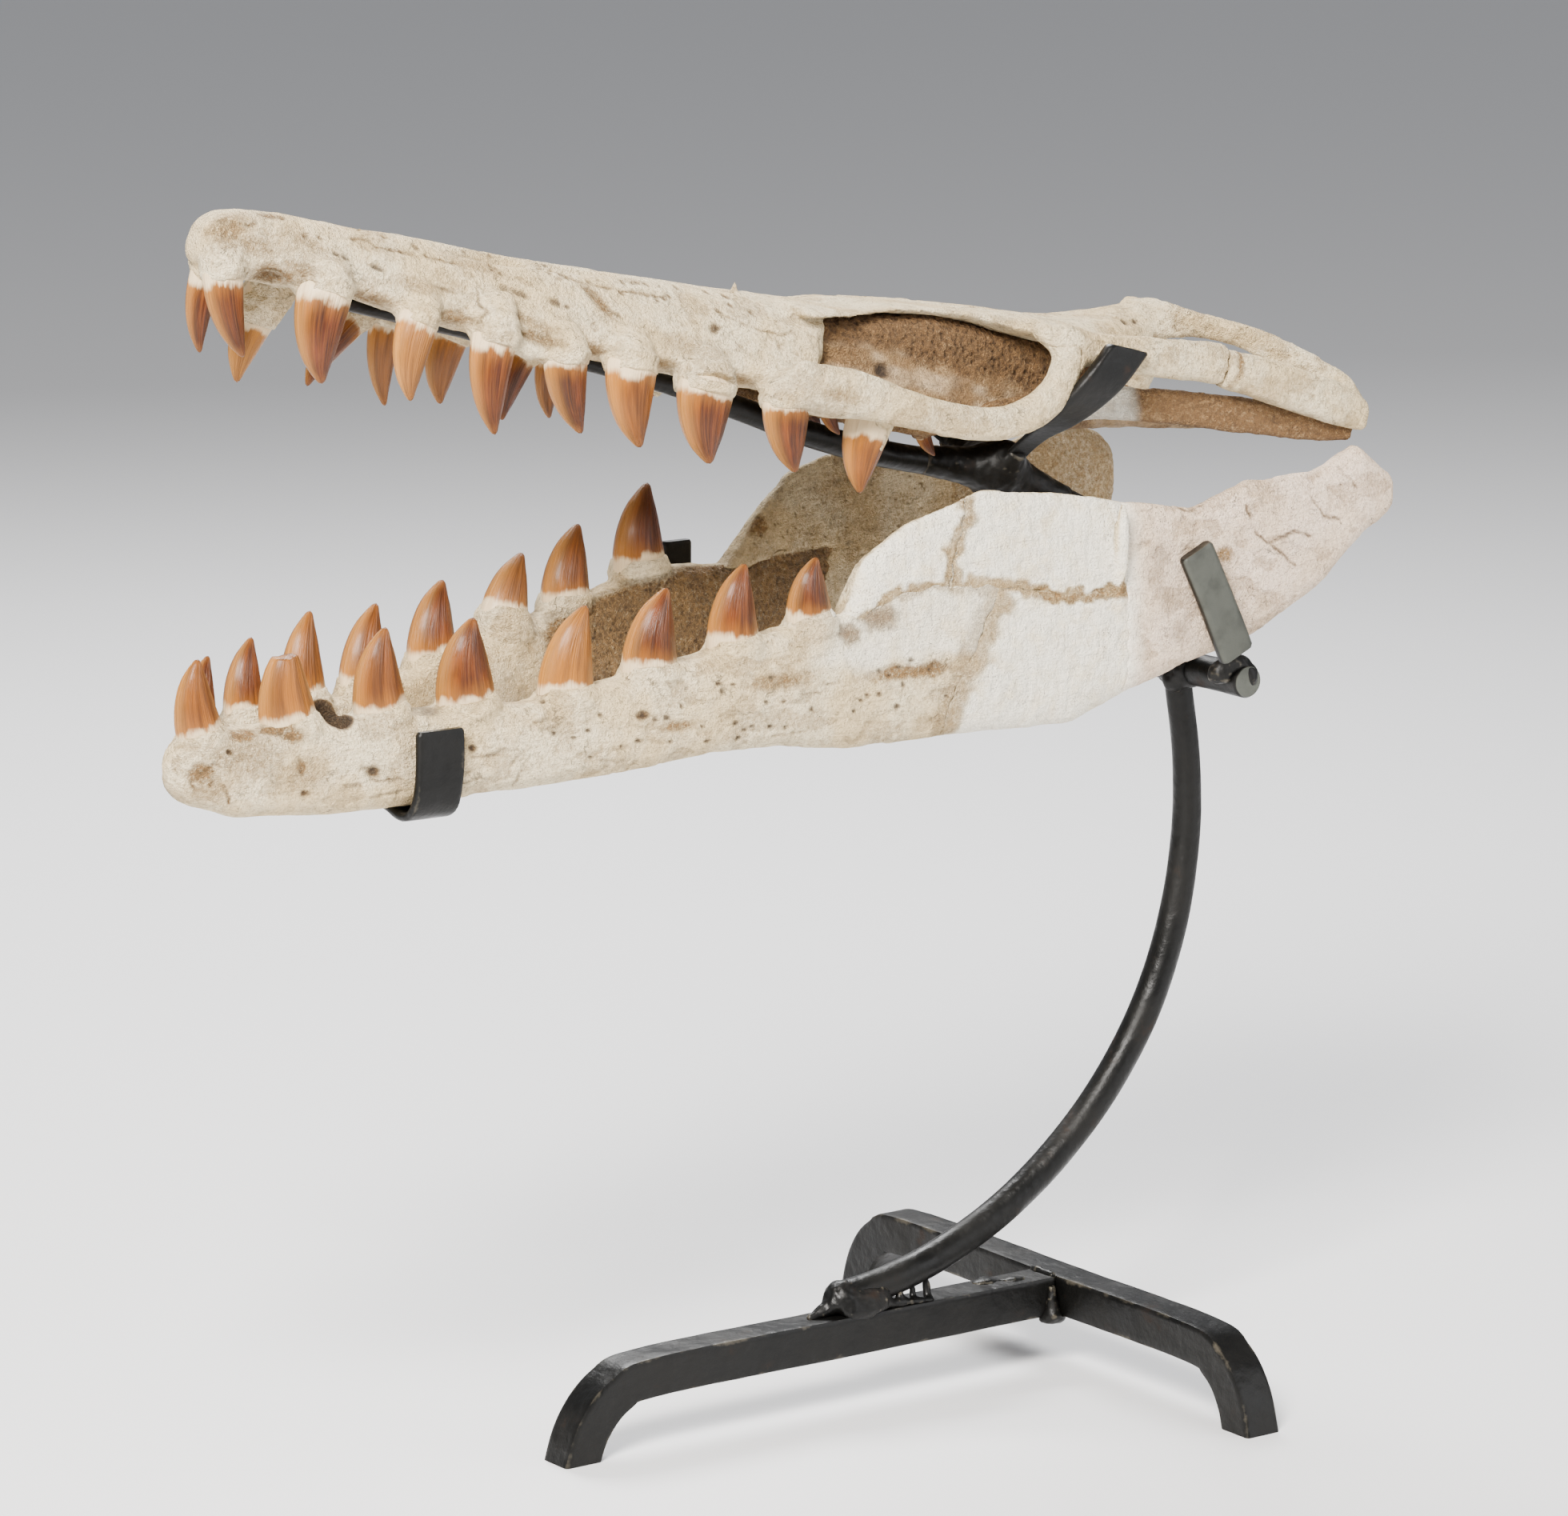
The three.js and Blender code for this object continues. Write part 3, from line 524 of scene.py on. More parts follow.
class Block:
    """A box of sample points in a bone's frame, and the distance at each."""

    def __init__(self, low, high, step=STEP):
        self.step = step
        self.axes = [np.arange(a, b + step, step, dtype=np.float32) for a, b in zip(low, high)]
        self.field = np.full([len(axis) for axis in self.axes], FAR_AWAY, np.float32)

    def window(self, low, high):
        """The slices of the block between two corners, and the places of their points."""
        cuts = []
        for axis, a, b in zip(self.axes, low, high):
            first = int(np.clip((a - axis[0]) // self.step, 0, len(axis) - 1))
            last = int(np.clip((b - axis[0]) // self.step + 2, first + 1, len(axis)))
            cuts.append(slice(first, last))
        return tuple(cuts), np.ix_(*[axis[cut] for axis, cut in zip(self.axes, cuts)])

    def add(self, shape, blend=2.0):
        """Melts a shape, given as (low corner, high corner, distance function), into the block."""
        low, high, distance = shape
        cut, (u, v, w) = self.window(np.array(low) - ROOM, np.array(high) + ROOM)
        self.field[cut] = melt(self.field[cut], distance(u, v, w), blend)

    def carve(self, shape, blend=1.5):
        """Takes a shape out of the block."""
        low, high, distance = shape
        cut, (u, v, w) = self.window(np.array(low) - ROOM, np.array(high) + ROOM)
        self.field[cut] = -melt(-self.field[cut], distance(u, v, w), blend)


print("sample points every", STEP, "mm")

# %% [markdown]
# Three kinds of shape make the whole skull. A body is a long bone whose section changes from
# station to station. A stub is a round peg with two radii, for tooth roots. A band follows a path
# and has its own height and thickness, for the bars round the eye.

# %% Shapes for the block
def read_stations(places, stations, soften=7):
    """Each column of a station table at the given places, with its corners rounded off."""
    rows = np.array(stations, float)
    fine = np.arange(rows[0, 0] - 30, rows[-1, 0] + 30, 1.0)
    weights = np.hanning(soften + 2)[1:-1]
    weights /= weights.sum()
    columns = []
    for column in rows.T[1:]:
        line = np.pad(np.interp(fine, rows[:, 0], column), soften // 2, mode="edge")
        columns.append(np.interp(places, fine, np.convolve(line, weights, "valid")))
    return columns


def body(stations, roundness=2.8, tip=4.0, side=1, soften=7):
    """A bone along u. A station is [u, low, high, half width low, half width high, v]."""
    rows = []
    for row in stations:
        u, low, high, wide = row[:4]
        narrow = row[4] if len(row) > 4 else wide
        rows.append([u, low, high, wide, narrow, row[5] * side if len(row) > 5 else 0.0])
    table = np.array(rows)
    reach = table[:, 3:5].max()
    low_corner = (table[0, 0], table[:, 5].min() - reach, table[:, 1].min())
    high_corner = (table[-1, 0], table[:, 5].max() + reach, table[:, 2].max())

    def distance(u, v, w):
        low, high, wide, narrow, off = [
            column.astype(np.float32) for column in read_stations(u, rows, soften)]
        middle = (low + high) / 2
        half_height = (high - low) / 2
        rise = (w - middle) / half_height
        half_width = wide + (narrow - wide) * (np.clip(rise, -1, 1) + 1) / 2
        across = np.abs(v - off) / half_width
        rise = np.abs(rise)
        power = roundness - 1
        across_power, rise_power = across ** power, rise ** power
        size = (across_power * across + rise_power * rise + 1e-6) ** (1 / roundness)
        slope = np.sqrt((across_power / half_width) ** 2 + (rise_power / half_height) ** 2)
        slope = slope * size ** -power
        inside = (size - 1) / np.maximum(slope, 0.02)
        ends = np.maximum(table[0, 0] - u, u - table[-1, 0])
        return -melt(-inside, -ends, tip).astype(np.float32)

    return low_corner, high_corner, distance


def stub(start, end, first, last, cap=1.0):
    """A round peg from start to end that goes from the first radius to the last."""
    a, b = np.array(start, np.float32), np.array(end, np.float32)
    length = float(np.linalg.norm(b - a))
    along = (b - a) / length
    reach = max(first, last)

    def distance(u, v, w):
        du, dv, dw = u - a[0], v - a[1], w - a[2]
        run = du * along[0] + dv * along[1] + dw * along[2]
        radial = np.sqrt(np.maximum(du * du + dv * dv + dw * dw - run * run, 0))
        radius = first + (last - first) * np.clip(run / length, 0, 1)
        return -melt(radius - radial, -np.maximum(-run, run - length), cap)

    return np.minimum(a, b) - reach, np.maximum(a, b) + reach, distance


def lump(at, radii):
    """An egg of the three given half sizes."""
    middle, half = np.array(at, np.float32), np.array(radii, np.float32)

    def distance(u, v, w):
        spread = sum(((g - m) / h) ** 2 for g, m, h in zip((u, v, w), middle, half))
        return (np.sqrt(spread) - 1) * half.min()

    return middle - half, middle + half, distance


def smooth_path(stops, pieces=4):
    """A row of stops with more in between, on a curve that passes through every one."""
    rows = np.array(stops, float)
    padded = np.vstack([2 * rows[0] - rows[1], rows, 2 * rows[-1] - rows[-2]])
    out = []
    for a, b, c, d in zip(padded[:-3], padded[1:-2], padded[2:-1], padded[3:]):
        for t in np.arange(pieces) / pieces:
            out.append(0.5 * (2 * b + (c - a) * t + (2 * a - 5 * b + 4 * c - d) * t ** 2
                              + (3 * b - a - 3 * c + d) * t ** 3))
    return np.array(out + [rows[-1]])


def band(stops, across, roundness=2.4, pieces=4):
    """A bar along a path of stops [u, v, w, half size across, half size along its normal]."""
    path = smooth_path(stops, pieces).astype(np.float32)
    reach = path[:, 3:].max()

    def distance(u, v, w):
        nearest = np.full(np.broadcast(u, v, w).shape, FAR_AWAY, np.float32)
        for first, last in zip(path[:-1], path[1:]):
            step = last[:3] - first[:3]
            length = float(np.linalg.norm(step))
            along = step / length
            normal = np.cross(along, across)
            normal /= np.linalg.norm(normal)
            side = np.cross(normal, along)
            offset = [g - m for g, m in zip((u, v, w), first[:3])]
            run = sum(o * a for o, a in zip(offset, along))
            held = np.clip(run, 0, length)
            share = held / length
            half_side = first[3] + (last[3] - first[3]) * share
            half_normal = first[4] + (last[4] - first[4]) * share
            x = np.abs(sum(o * s for o, s in zip(offset, side))) / half_side
            y = np.abs(sum(o * n for o, n in zip(offset, normal))) / half_normal
            z = np.abs(run - held) / np.minimum(half_side, half_normal)
            size = (x ** roundness + y ** roundness + z ** roundness + 1e-6) ** (1 / roundness)
            slope = np.sqrt((x ** (roundness - 1) / half_side) ** 2
                            + (y ** (roundness - 1) / half_normal) ** 2
                            + (z ** (roundness - 1) / np.minimum(half_side, half_normal)) ** 2)
            slope = slope * size ** (1 - roundness)
            nearest = np.minimum(nearest, (size - 1) / np.maximum(slope, 0.04))
        return nearest

    return path[:, :3].min(0) - reach, path[:, :3].max(0) + reach, distance


# %% [markdown]
# A surface is found where the distances change sign. Each small cube that the surface crosses
# gets one point, at the middle of the crossings on its edges, and each crossed edge gets one
# four-sided face. That gives an even skin of small faces with no holes.

# %% From distances to a skin
CORNERS = list(itertools.product((0, 1), repeat=3))


def skin_of(field, origin, step):
    """Points and four-sided faces of the surface where the field is zero."""
    field = np.pad(field, 1, constant_values=FAR_AWAY)
    origin = np.array(origin) - step
    inside = field < 0
    shape = np.array(field.shape)
    count = np.zeros(tuple(shape - 1), np.uint8)
    for corner in CORNERS:
        count += inside[tuple(slice(c, n - 1 + c) for c, n in zip(corner, shape))]
    cells = np.argwhere((count > 0) & (count < 8))
    index = np.full(tuple(shape - 1), -1, np.int64)
    index[tuple(cells.T)] = np.arange(len(cells))
    total = np.zeros((len(cells), 3))
    crossings = np.zeros(len(cells))
    for corner in CORNERS:
        for axis in range(3):
            if corner[axis]:
                continue
            other = list(corner)
            other[axis] = 1
            first = field[tuple((cells + corner).T)]
            last = field[tuple((cells + other).T)]
            crossed = (first < 0) != (last < 0)
            place = np.tile(np.array(corner, float), (len(cells), 1))
            place[crossed, axis] = first[crossed] / (first[crossed] - last[crossed])
            total[crossed] += place[crossed]
            crossings += crossed
    points = origin + (cells + total / crossings[:, None]) * step
    quads = []
    for axis in range(3):
        one, two = (axis + 1) % 3, (axis + 2) % 3
        low, high = [slice(None)] * 3, [slice(None)] * 3
        low[axis], high[axis] = slice(0, -1), slice(1, None)
        edges = np.argwhere(inside[tuple(low)] != inside[tuple(high)])
        entering = inside[tuple(low)][tuple(edges.T)]
        ring = []
        for back_one, back_two in ((0, 0), (1, 0), (1, 1), (0, 1)):
            cell = edges.copy()
            cell[:, one] -= back_one
            cell[:, two] -= back_two
            ring.append(index[tuple(cell.T)])
        ring = np.stack(ring, 1)
        ring[~entering] = ring[~entering][:, ::-1]
        quads.append(ring)
    return points, np.concatenate(quads)


def normals_of(points, quads):
    """The outward direction at each point of a skin."""
    corners = points[quads]
    faces = np.cross(corners[:, 2] - corners[:, 0], corners[:, 3] - corners[:, 1])
    summed = np.stack([
        np.bincount(quads.ravel(), np.repeat(faces[:, k], 4), len(points)) for k in range(3)], 1)
    return summed / np.maximum(np.linalg.norm(summed, axis=1), 1e-9)[:, None]


def relax(points, quads, rounds=1):
    """Moves each point half way to the middle of its neighbours, to take off the grid's steps."""
    starts, ends = quads.ravel(), np.roll(quads, -1, axis=1).ravel()
    count = np.bincount(starts, minlength=len(points))
    for _ in range(rounds):
        middle = np.stack([
            np.bincount(starts, points[ends, k], len(points)) for k in range(3)], 1)
        points = points * 0.5 + middle / np.maximum(count, 1)[:, None] * 0.5
    return points


print("skin helpers ready")

# %% [markdown]
# A grown skin is too smooth for bone that lay in rock. Two kinds of random pattern roughen it:
# soft noise for lumps and fibres, and scattered pores for spongy bone. Both start from a fixed
# seed, so the skull is the same each time.

# %% Noise and pores over a skin
TABLE_SIZE = 4096


def lattice(cell, table):
    """A random value for each whole-numbered cell."""
    key = (cell[:, 0] * 73856093) ^ (cell[:, 1] * 19349663) ^ (cell[:, 2] * 83492791)
    return table[key & (TABLE_SIZE - 1)]


def noise(points, size, seed, octaves=1):
    """Smooth values, mostly from -1 to 1, with bumps about size mm across (one or three sizes)."""
    table = np.random.default_rng(seed).uniform(-1, 1, TABLE_SIZE)
    total = np.zeros(len(points))
    for octave in range(octaves):
        scaled = points / (np.asarray(size, float) / 2 ** octave) + 300.0
        cell = np.floor(scaled).astype(np.int64)
        part = scaled - cell
        part = part * part * (3 - 2 * part)
        for corner in CORNERS:
            weight = np.prod(np.where(np.array(corner), part, 1 - part), axis=1)
            total += lattice(cell + corner, table) * weight / 2 ** octave
    return total


def pores(points, size, seed):
    """Distance to the nearest of many scattered points, as a share of their spacing in mm."""
    rng = np.random.default_rng(seed)
    tables = rng.uniform(0, 1, (3, TABLE_SIZE))
    scaled = points / np.asarray(size, float) + 300.0
    cell = np.floor(scaled).astype(np.int64)
    nearest = np.full(len(points), 9.0)
    for corner in itertools.product((-1, 0, 1), repeat=3):
        home = cell + corner
        seat = home + np.stack([lattice(home, table) for table in tables], 1)
        nearest = np.minimum(nearest, ((scaled - seat) ** 2).sum(1))
    return np.sqrt(nearest)


def ease(value, start, end):
    """0 before start, 1 after end, and a smooth rise between."""
    t = np.clip((value - start) / (end - start), 0, 1)
    return t * t * (3 - 2 * t)


# %% [markdown]
# ## A skin with marks
# Pits, slots, cracks and stains are set one by one where a real skull shows them. A mark belongs to
# one face of the bone: it moves the points in along their normal, and it writes how brown, how
# dark or how white the bone is there. The materials read those three values later.

# %% The skin class
class Skin:
    """A bone's surface, with its stain, shade and plaster from 0 to 1 at each point."""

    def __init__(self, field, origin, step=STEP):
        self.points, self.quads = skin_of(field, origin, step)
        self.points = relax(self.points, self.quads)
        self.face = normals_of(self.points, self.quads)
        self.stain = np.zeros(len(self.points))
        self.shade = np.zeros(len(self.points))
        self.plaster = np.zeros(len(self.points))

    def push(self, depth):
        """Moves every point inward by its own depth in mm."""
        self.points = self.points - self.face * np.asarray(depth)[:, None]

    def facing(self, side):
        """1 where the skin looks to that side of the skull, 0 where it looks away."""
        return ease(self.face[:, 1] * side, 0.05, 0.4)

    def spot(self, side, u, w, long, tall, depth, stain=0.0, shade=0.0, slant=0.0, plaster=0.0):
        """One soft-edged mark on a side face."""
        du, dw = self.points[:, 0] - u, self.points[:, 2] - w
        c, s = math.cos(math.radians(slant)), math.sin(math.radians(slant))
        spread = ((du * c + dw * s) / long) ** 2 + ((dw * c - du * s) / tall) ** 2
        near = spread < 6
        if not near.any():
            return
        spread[near] *= 1 + 0.5 * noise(self.points[near], 2.5, 5, 2)
        mask = np.where(near, np.exp(-spread ** 1.5), 0) * self.facing(side)
        self.push(depth * mask)
        self.stain = np.maximum(self.stain, stain * mask)
        # The shade value darkens the mark's hollow: painted shade, with dirt.
        self.shade = np.maximum(self.shade, shade * mask)
        self.plaster = np.maximum(self.plaster, plaster * mask)

    def line(self, side, path, width, depth, stain=0.0, shade=0.0, wander=0.8, seed=3,
             gaps=0.7, power=2):
        """A crack or a seam along a path of (u, w) places on a side face."""
        place = self.points[:, [0, 2]] + wander * np.stack(
            [noise(self.points, 5, seed, 2), noise(self.points, 5, seed + 1, 2)], 1)
        nearest = np.full(len(place), 99.0)
        for a, b in zip(path[:-1], path[1:]):
            a, b = np.array(a, float), np.array(b, float)
            share = np.clip(((place - a) @ (b - a)) / ((b - a) @ (b - a)), 0, 1)
            nearest = np.minimum(nearest, np.linalg.norm(place - a - share[:, None] * (b - a), axis=1))
        broken = np.clip(1 - gaps * (0.35 - noise(self.points, 4, seed + 5, 2)), 0, 1)
        mask = np.exp(-(nearest / width) ** power) * self.facing(side) * broken
        self.push(depth * mask)
        self.stain = np.maximum(self.stain, stain * mask)
        # The shade value darkens the crack or seam: dirt, and painted shade in its groove.
        self.shade = np.maximum(self.shade, shade * mask)

    def weather(self, seed, lumps=0.30, fibres=0.12, along=9.0, flakes=0.28):
        """The roughness of old bone: low lumps, fine fibres along it, and a crust that flaked."""
        crust = noise(self.points, (13, 10, 8), seed + 2, 3)
        bare = ease(crust, 0.22, 0.34) * (1 - self.plaster)
        rough = np.clip(0.35 * bare + 0.6 * self.stain, 0, 1) * (1 - 0.6 * self.plaster)
        self.push(lumps * noise(self.points, 9, seed, 3) + flakes * bare
                  + fibres * noise(self.points, (along, 1.5, 1.5), seed + 1, 2)
                  + 0.45 * rough * noise(self.points, 2.2, seed + 3, 2))
        self.stain = np.maximum(self.stain, 0.17 * bare)

    def sponge(self, mask, size, depth, seed):
        """Turns part of the surface into open spongy bone."""
        hollow = 1 - ease(pores(self.points, size, seed), 0.15, 0.62)
        grain = noise(self.points, size * 0.7, seed + 7, 2)
        self.push(mask * (depth * hollow + 0.3 * depth * grain))
        # Painted shade: the open pores are darkened.
        self.shade = np.maximum(self.shade, mask * hollow * 0.28)


# %% [markdown]
# A finished skin becomes one Blender mesh. Its place is in its points and its object stays at
# the origin. The bone's own coordinates go along as an attribute, in centimetres, so that grain
# can follow the bone wherever it points.

# %% From a skin to a piece
def keep_values(mesh, name, values, kind="FLOAT"):
    attribute = mesh.attributes.new(name, kind, "POINT")
    field = "value" if kind == "FLOAT" else "vector"
    attribute.data.foreach_set(field, np.asarray(values, np.float32).ravel())


def mesh_of(name, points, faces):
    """A smooth mesh object at the origin; the faces all have the same number of corners."""
    faces = np.asarray(faces)
    mesh = bpy.data.meshes.new(name)
    mesh.vertices.add(len(points))
    mesh.vertices.foreach_set("co", np.asarray(points, np.float32).ravel())
    mesh.loops.add(faces.size)
    mesh.loops.foreach_set("vertex_index", faces.astype(np.int32).ravel())
    mesh.polygons.add(len(faces))
    mesh.polygons.foreach_set("loop_start", np.arange(len(faces), dtype=np.int32) * faces.shape[1])
    mesh.update(calc_edges=True)
    mesh.polygons.foreach_set("use_smooth", np.ones(len(faces), bool))
    mesh.validate()
    piece = bpy.data.objects.new(name, mesh)
    bpy.context.scene.collection.objects.link(piece)
    return piece


def hollows(skin):
    """How deep each point lies below its neighbourhood, from -1 on a crest to 1 in a hollow."""
    level = relax(skin.points, skin.quads, 4)
    depth = ((level - skin.points) * normals_of(skin.points, skin.quads)).sum(1)
    return np.clip(depth / 0.22, -1, 1)


def bone_piece(name, skin, bone_frame, material, node):
    # Painted shade, with dirt: points that lie in a hollow are darkened.
    skin.shade = np.clip(skin.shade + 0.32 * np.clip(hollows(skin), 0, 1), 0, 1)
    piece = mesh_of(name, bone_frame.row(skin.points), skin.quads)
    keep_values(piece.data, "grain_place", skin.points * 0.1, "FLOAT_VECTOR")
    keep_values(piece.data, "stain", np.clip(skin.stain, 0, 1))
    keep_values(piece.data, "shade", np.clip(skin.shade, 0, 1))
    keep_values(piece.data, "plaster", np.clip(skin.plaster, 0, 1))
    piece.data.materials.append(material)
    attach(piece, "root")
    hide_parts(node)
    print(name, len(skin.quads) * 2, "triangles")
    return piece


# %% [markdown]
# ## Teeth, first as numbers
# A row of teeth is a list of places in the bone's frame: root, tip, diameter, and how far up the
# tooth its white collar of bone reaches. The bones need the numbers first, because each root is
# melted into its jaw. The crowns are made from the same numbers further on.

# %% Tooth tables: [u, v, w, tip u, tip v, tip w, diameter, collar]
UPPER_TEETH = {
    "left": [
        [8, -9, 2, 22, -12, -26, 15, 0.10], [49, -14.5, 2.5, 54, -17, -29.5, 20.5, 0.06],
        [88, -19.5, 0, 90, -22, -29, 15.5, 0.07], [120, -23.5, 1, 127, -26, -34.5, 17.5, 0.10],
        [150, -27.5, -1, 162.5, -30, -27.5, 17, 0.10], [178, -31, 1, 187.5, -34, -28, 20, 0.09],
        [211, -35, 0, 218, -38, -28.5, 22.5, 0.11], [246, -40, 0, 255, -43, -25, 19, 0.10]],
    "right": [
        [13, 7.2, 2, 19, 10.5, -27.5, 12, 0.12], [46, 14, 1, 39.5, 14, -35, 17, 0.42],
        [90, 20, -1, 73, 18.5, -31, 13, 0.12], [105, 22, 0, 113, 24, -32, 13, 0.1],
        [137, 26, 0, 140.5, 28, -27, 15.5, 0.1], [175, 31, -1, 173, 32, -28, 14, 0.1],
        [191, 33, 0, 197, 35, -23.5, 12, 0.1], [242, 40, -1, 240, 41, -15, 14, 0.15]],
}
LAST_TOOTH = [291, -36.5, 2, 292, -38, -27.5, 19, 0.26]
LOWER_TEETH = {
    "left": [
        [14, 0, 9, 12, -2, 39, 17, 0.13], [49.5, 0, 10, 49, -2, 42.5, 21, 0.12],
        [87, 0, 9.5, 88, -2, 43, 20, 0.14], [122.5, 0, 9.5, 124.5, -2, 43, 22.5, 0.13],
        [164, 0, 8, 172, -2, 43, 21.5, 0.16], [200, 0, 14, 207, -2, 46, 21.5, 0.15],
        [237, 0, 19, 241, -2, 52, 20.5, 0.17], [271, 0, 24, 272.5, -2, 51.5, 18.5, 0.24]],
    "right": [
        [24, 0, 7, 30.5, 2, 32, 14, 0.15], [46, 0, 7, 51.5, 2, 36, 16.5, 0.15],
        [75, 0, 8, 80.5, 2, 42, 18.5, 0.15], [104, 0, 9.5, 113.5, 2, 40.5, 19, 0.14],
        [139.5, 0, 15, 147.5, 2, 45, 20.5, 0.13], [176, 0, 21.5, 189, 2, 50, 21, 0.30],
        [209.5, 0, 28, 219, 2, 57.5, 20.5, 0.12], [250, 0, 34, 256.5, 2, 69, 22.5, 0.18]],
}
PALATE_TEETH = {
    name: [[u, side * 13.5, 1, u + 9, side * 13.5, -tall - 2, 6.5, 0.1]
           for u, tall in ((288, 5), (301, 3), (337, 5))]
    for name, side in SIDES.items()
}
BOW_AT = 0.55
BOW_FORWARD = 0.16


def tooth_axis(row, t):
    """A place on a tooth's middle line: it swings forward and hooks back to the tip."""
    base, tip = np.array(row[:3], float), np.array(row[3:6], float)
    up = tip - base
    bow = base + up * BOW_AT + np.array([-BOW_FORWARD * np.linalg.norm(up), 0, 0])
    return base * (1 - t) ** 2 + bow * 2 * t * (1 - t) + tip * t ** 2


def girth(t):
    """A tooth's width at t, as a share of its diameter."""
    return np.interp(t, [-0.4, 0, 0.15, 0.35, 0.55, 0.72, 0.88, 1.0],
                     [0.88, 1.0, 0.97, 0.88, 0.74, 0.56, 0.33, 0.12])


def add_collars(block, rows, blend=3.5, flare=1.015):
    """Melts each tooth's root and white collar into the jaw, along the tooth's own bow."""
    for row in rows:
        diameter, collar = row[6], row[7]
        steps = np.linspace(-0.34, collar + 0.01, 4 + int(collar * 10))
        for start, end in zip(steps[:-1], steps[1:]):
            ends = []
            for t in (start, end):
                depth = max(-t, 0) / 0.34
                inward = np.array([0, -math.copysign(0.2 * diameter * depth, row[1] or 1), 0])
                if abs(row[1]) < 5:
                    inward = inward * 0
                spread = flare + 0.06 * np.clip((collar - t) / 0.15, 0, 1)
                ends.append((tooth_axis(row, t) + inward,
                             diameter * 0.5 * girth(max(t, 0.0)) * spread * (1 - 0.5 * depth)))
            (first, first_radius), (last, last_radius) = ends
            run = 0.6 * (last - first) / np.linalg.norm(last - first)
            final = end > collar - 0.001
            block.add(stub(first - run, last + run * (0.2 if final else 1), first_radius,
                           last_radius, cap=0.4), blend if end < 0.08 else 2.4)


print("teeth:", sum(len(row) for rows in (UPPER_TEETH, LOWER_TEETH) for row in rows.values()) + 7)

# %% [markdown]
# ## Cranium
# The snout, the roof, the bar under each eye and the strut behind it grow in one block, because
# on the skull they run into each other. Afterwards the block is parted along wavy sutures into
# the bones' own pieces. Slots for the nostrils, a hollow palate and the eye hollows are carved.

# %% Stations of the cranium
SNOUT = [
    [-0.5, 7, 15, 5.5, 4.5], [2.5, 3.5, 19, 10, 8], [7, 1.5, 22.3, 13, 9.5], [15, 0, 24.6, 15, 10],
    [32, 1, 26.3, 18, 9], [60, 2.5, 27.2, 20, 8], [88, -0.5, 29, 23, 9], [110, -1, 29.4, 26, 10],
    [142, -1.5, 30.6, 30, 12], [180, -0.5, 32.8, 35, 14], [217, 0, 35.2, 39.5, 17],
    [244, 1.5, 37.2, 44, 22], [258, 2, 38, 46, 25], [267.5, 3.5, 38.4, 47, 27]]
PALATE = [[40, -9, 5.5, 6, 3], [88, -9, 6.5, 11, 6], [142, -9, 7, 15, 8], [217, -9, 7.5, 22, 12],
          [300, -9, 8, 30, 16]]
ROOF = [
    [252, 31, 37.6, 44, 25], [275, 35.5, 39, 37, 27], [289, 39, 41, 28, 28], [299, 41, 44.2, 25, 29],
    [320, 44, 47.4, 24, 29.5], [337, 45.2, 49.8, 25, 30], [355, 44.5, 52, 32, 29],
    [376, 44, 54.3, 42, 31], [392, 45, 54.8, 38, 27], [407, 46, 58, 32, 20], [425, 47, 63, 26, 14],
    [436, 50, 67, 22, 9], [446, 54, 71, 18, 7], [453, 57, 73.4, 16, 6], [459, 60, 71.4, 14, 6],
    [466, 61, 67.6, 13, 7], [474, 61, 65.6, 11, 7]]
JUGAL = [
    [246, 46, 8.5, 3.5, 7.5], [272, 47.5, 8.3, 4, 8.6], [297, 49, 6.7, 4.2, 7.2],
    [323, 50.5, 6.6, 4.4, 6.6], [338, 51.5, 8.4, 4.5, 6.5], [349, 52, 12, 4.5, 6.6],
    [359, 52.3, 18.5, 4.5, 6.7], [366, 52, 27, 4.5, 6.5], [369.5, 51, 37, 4.5, 6.3],
    [369, 49.5, 46, 4.5, 5.5]]
POSTORBITAL = [
    [354, 45, 50.5, 3.5, 3, 46], [366, 41, 50.5, 5, 4.5, 49], [378, 38.5, 51, 5.5, 5, 50.8],
    [393, 38.3, 52.5, 5.5, 5, 52], [420, 40.7, 56.3, 5.5, 5, 54], [446, 43, 59.2, 5.5, 5, 56.5]]
ARCH = [[452, 11, 66.2, 6, 4.3], [466, 23, 65.6, 4.8, 3.7], [477, 31.6, 64.8, 4.6, 4.1],
        [484, 37.2, 62.6, 5.6, 4.5], [488.6, 41, 61, 5.9, 4.9], [499.4, 49.5, 57.2, 5.6, 5.1], [508, 57, 53, 5.6, 5.4],
        [512, 61.5, 47, 5.5, 5.2]]
REAR_BLOCK = [[443.3, 42, 57.3, 6, 6, 58], [470, 39.5, 56.6, 6.5, 6, 60.5],
              [500, 37.5, 54.5, 6.5, 6, 63], [517, 37.5, 49, 5, 4.5, 64]]
ALONG, OUT, UP = np.eye(3)
PREMAXILLA_END = 66.0
ORBIT_FRONT = 271.0
FRONTAL_END = 392.0
OVERLAP = 0.45 * STEP


def mirrored(rows, side):
    return [[row[0], side * row[1], *row[2:]] for row in rows]


def wave(v, w):
    """How far a suture wanders to and fro, in mm."""
    return 0.8 * np.sin(0.55 * v + 0.9 * w) + 0.5 * np.sin(1.4 * w - 0.8 * v)


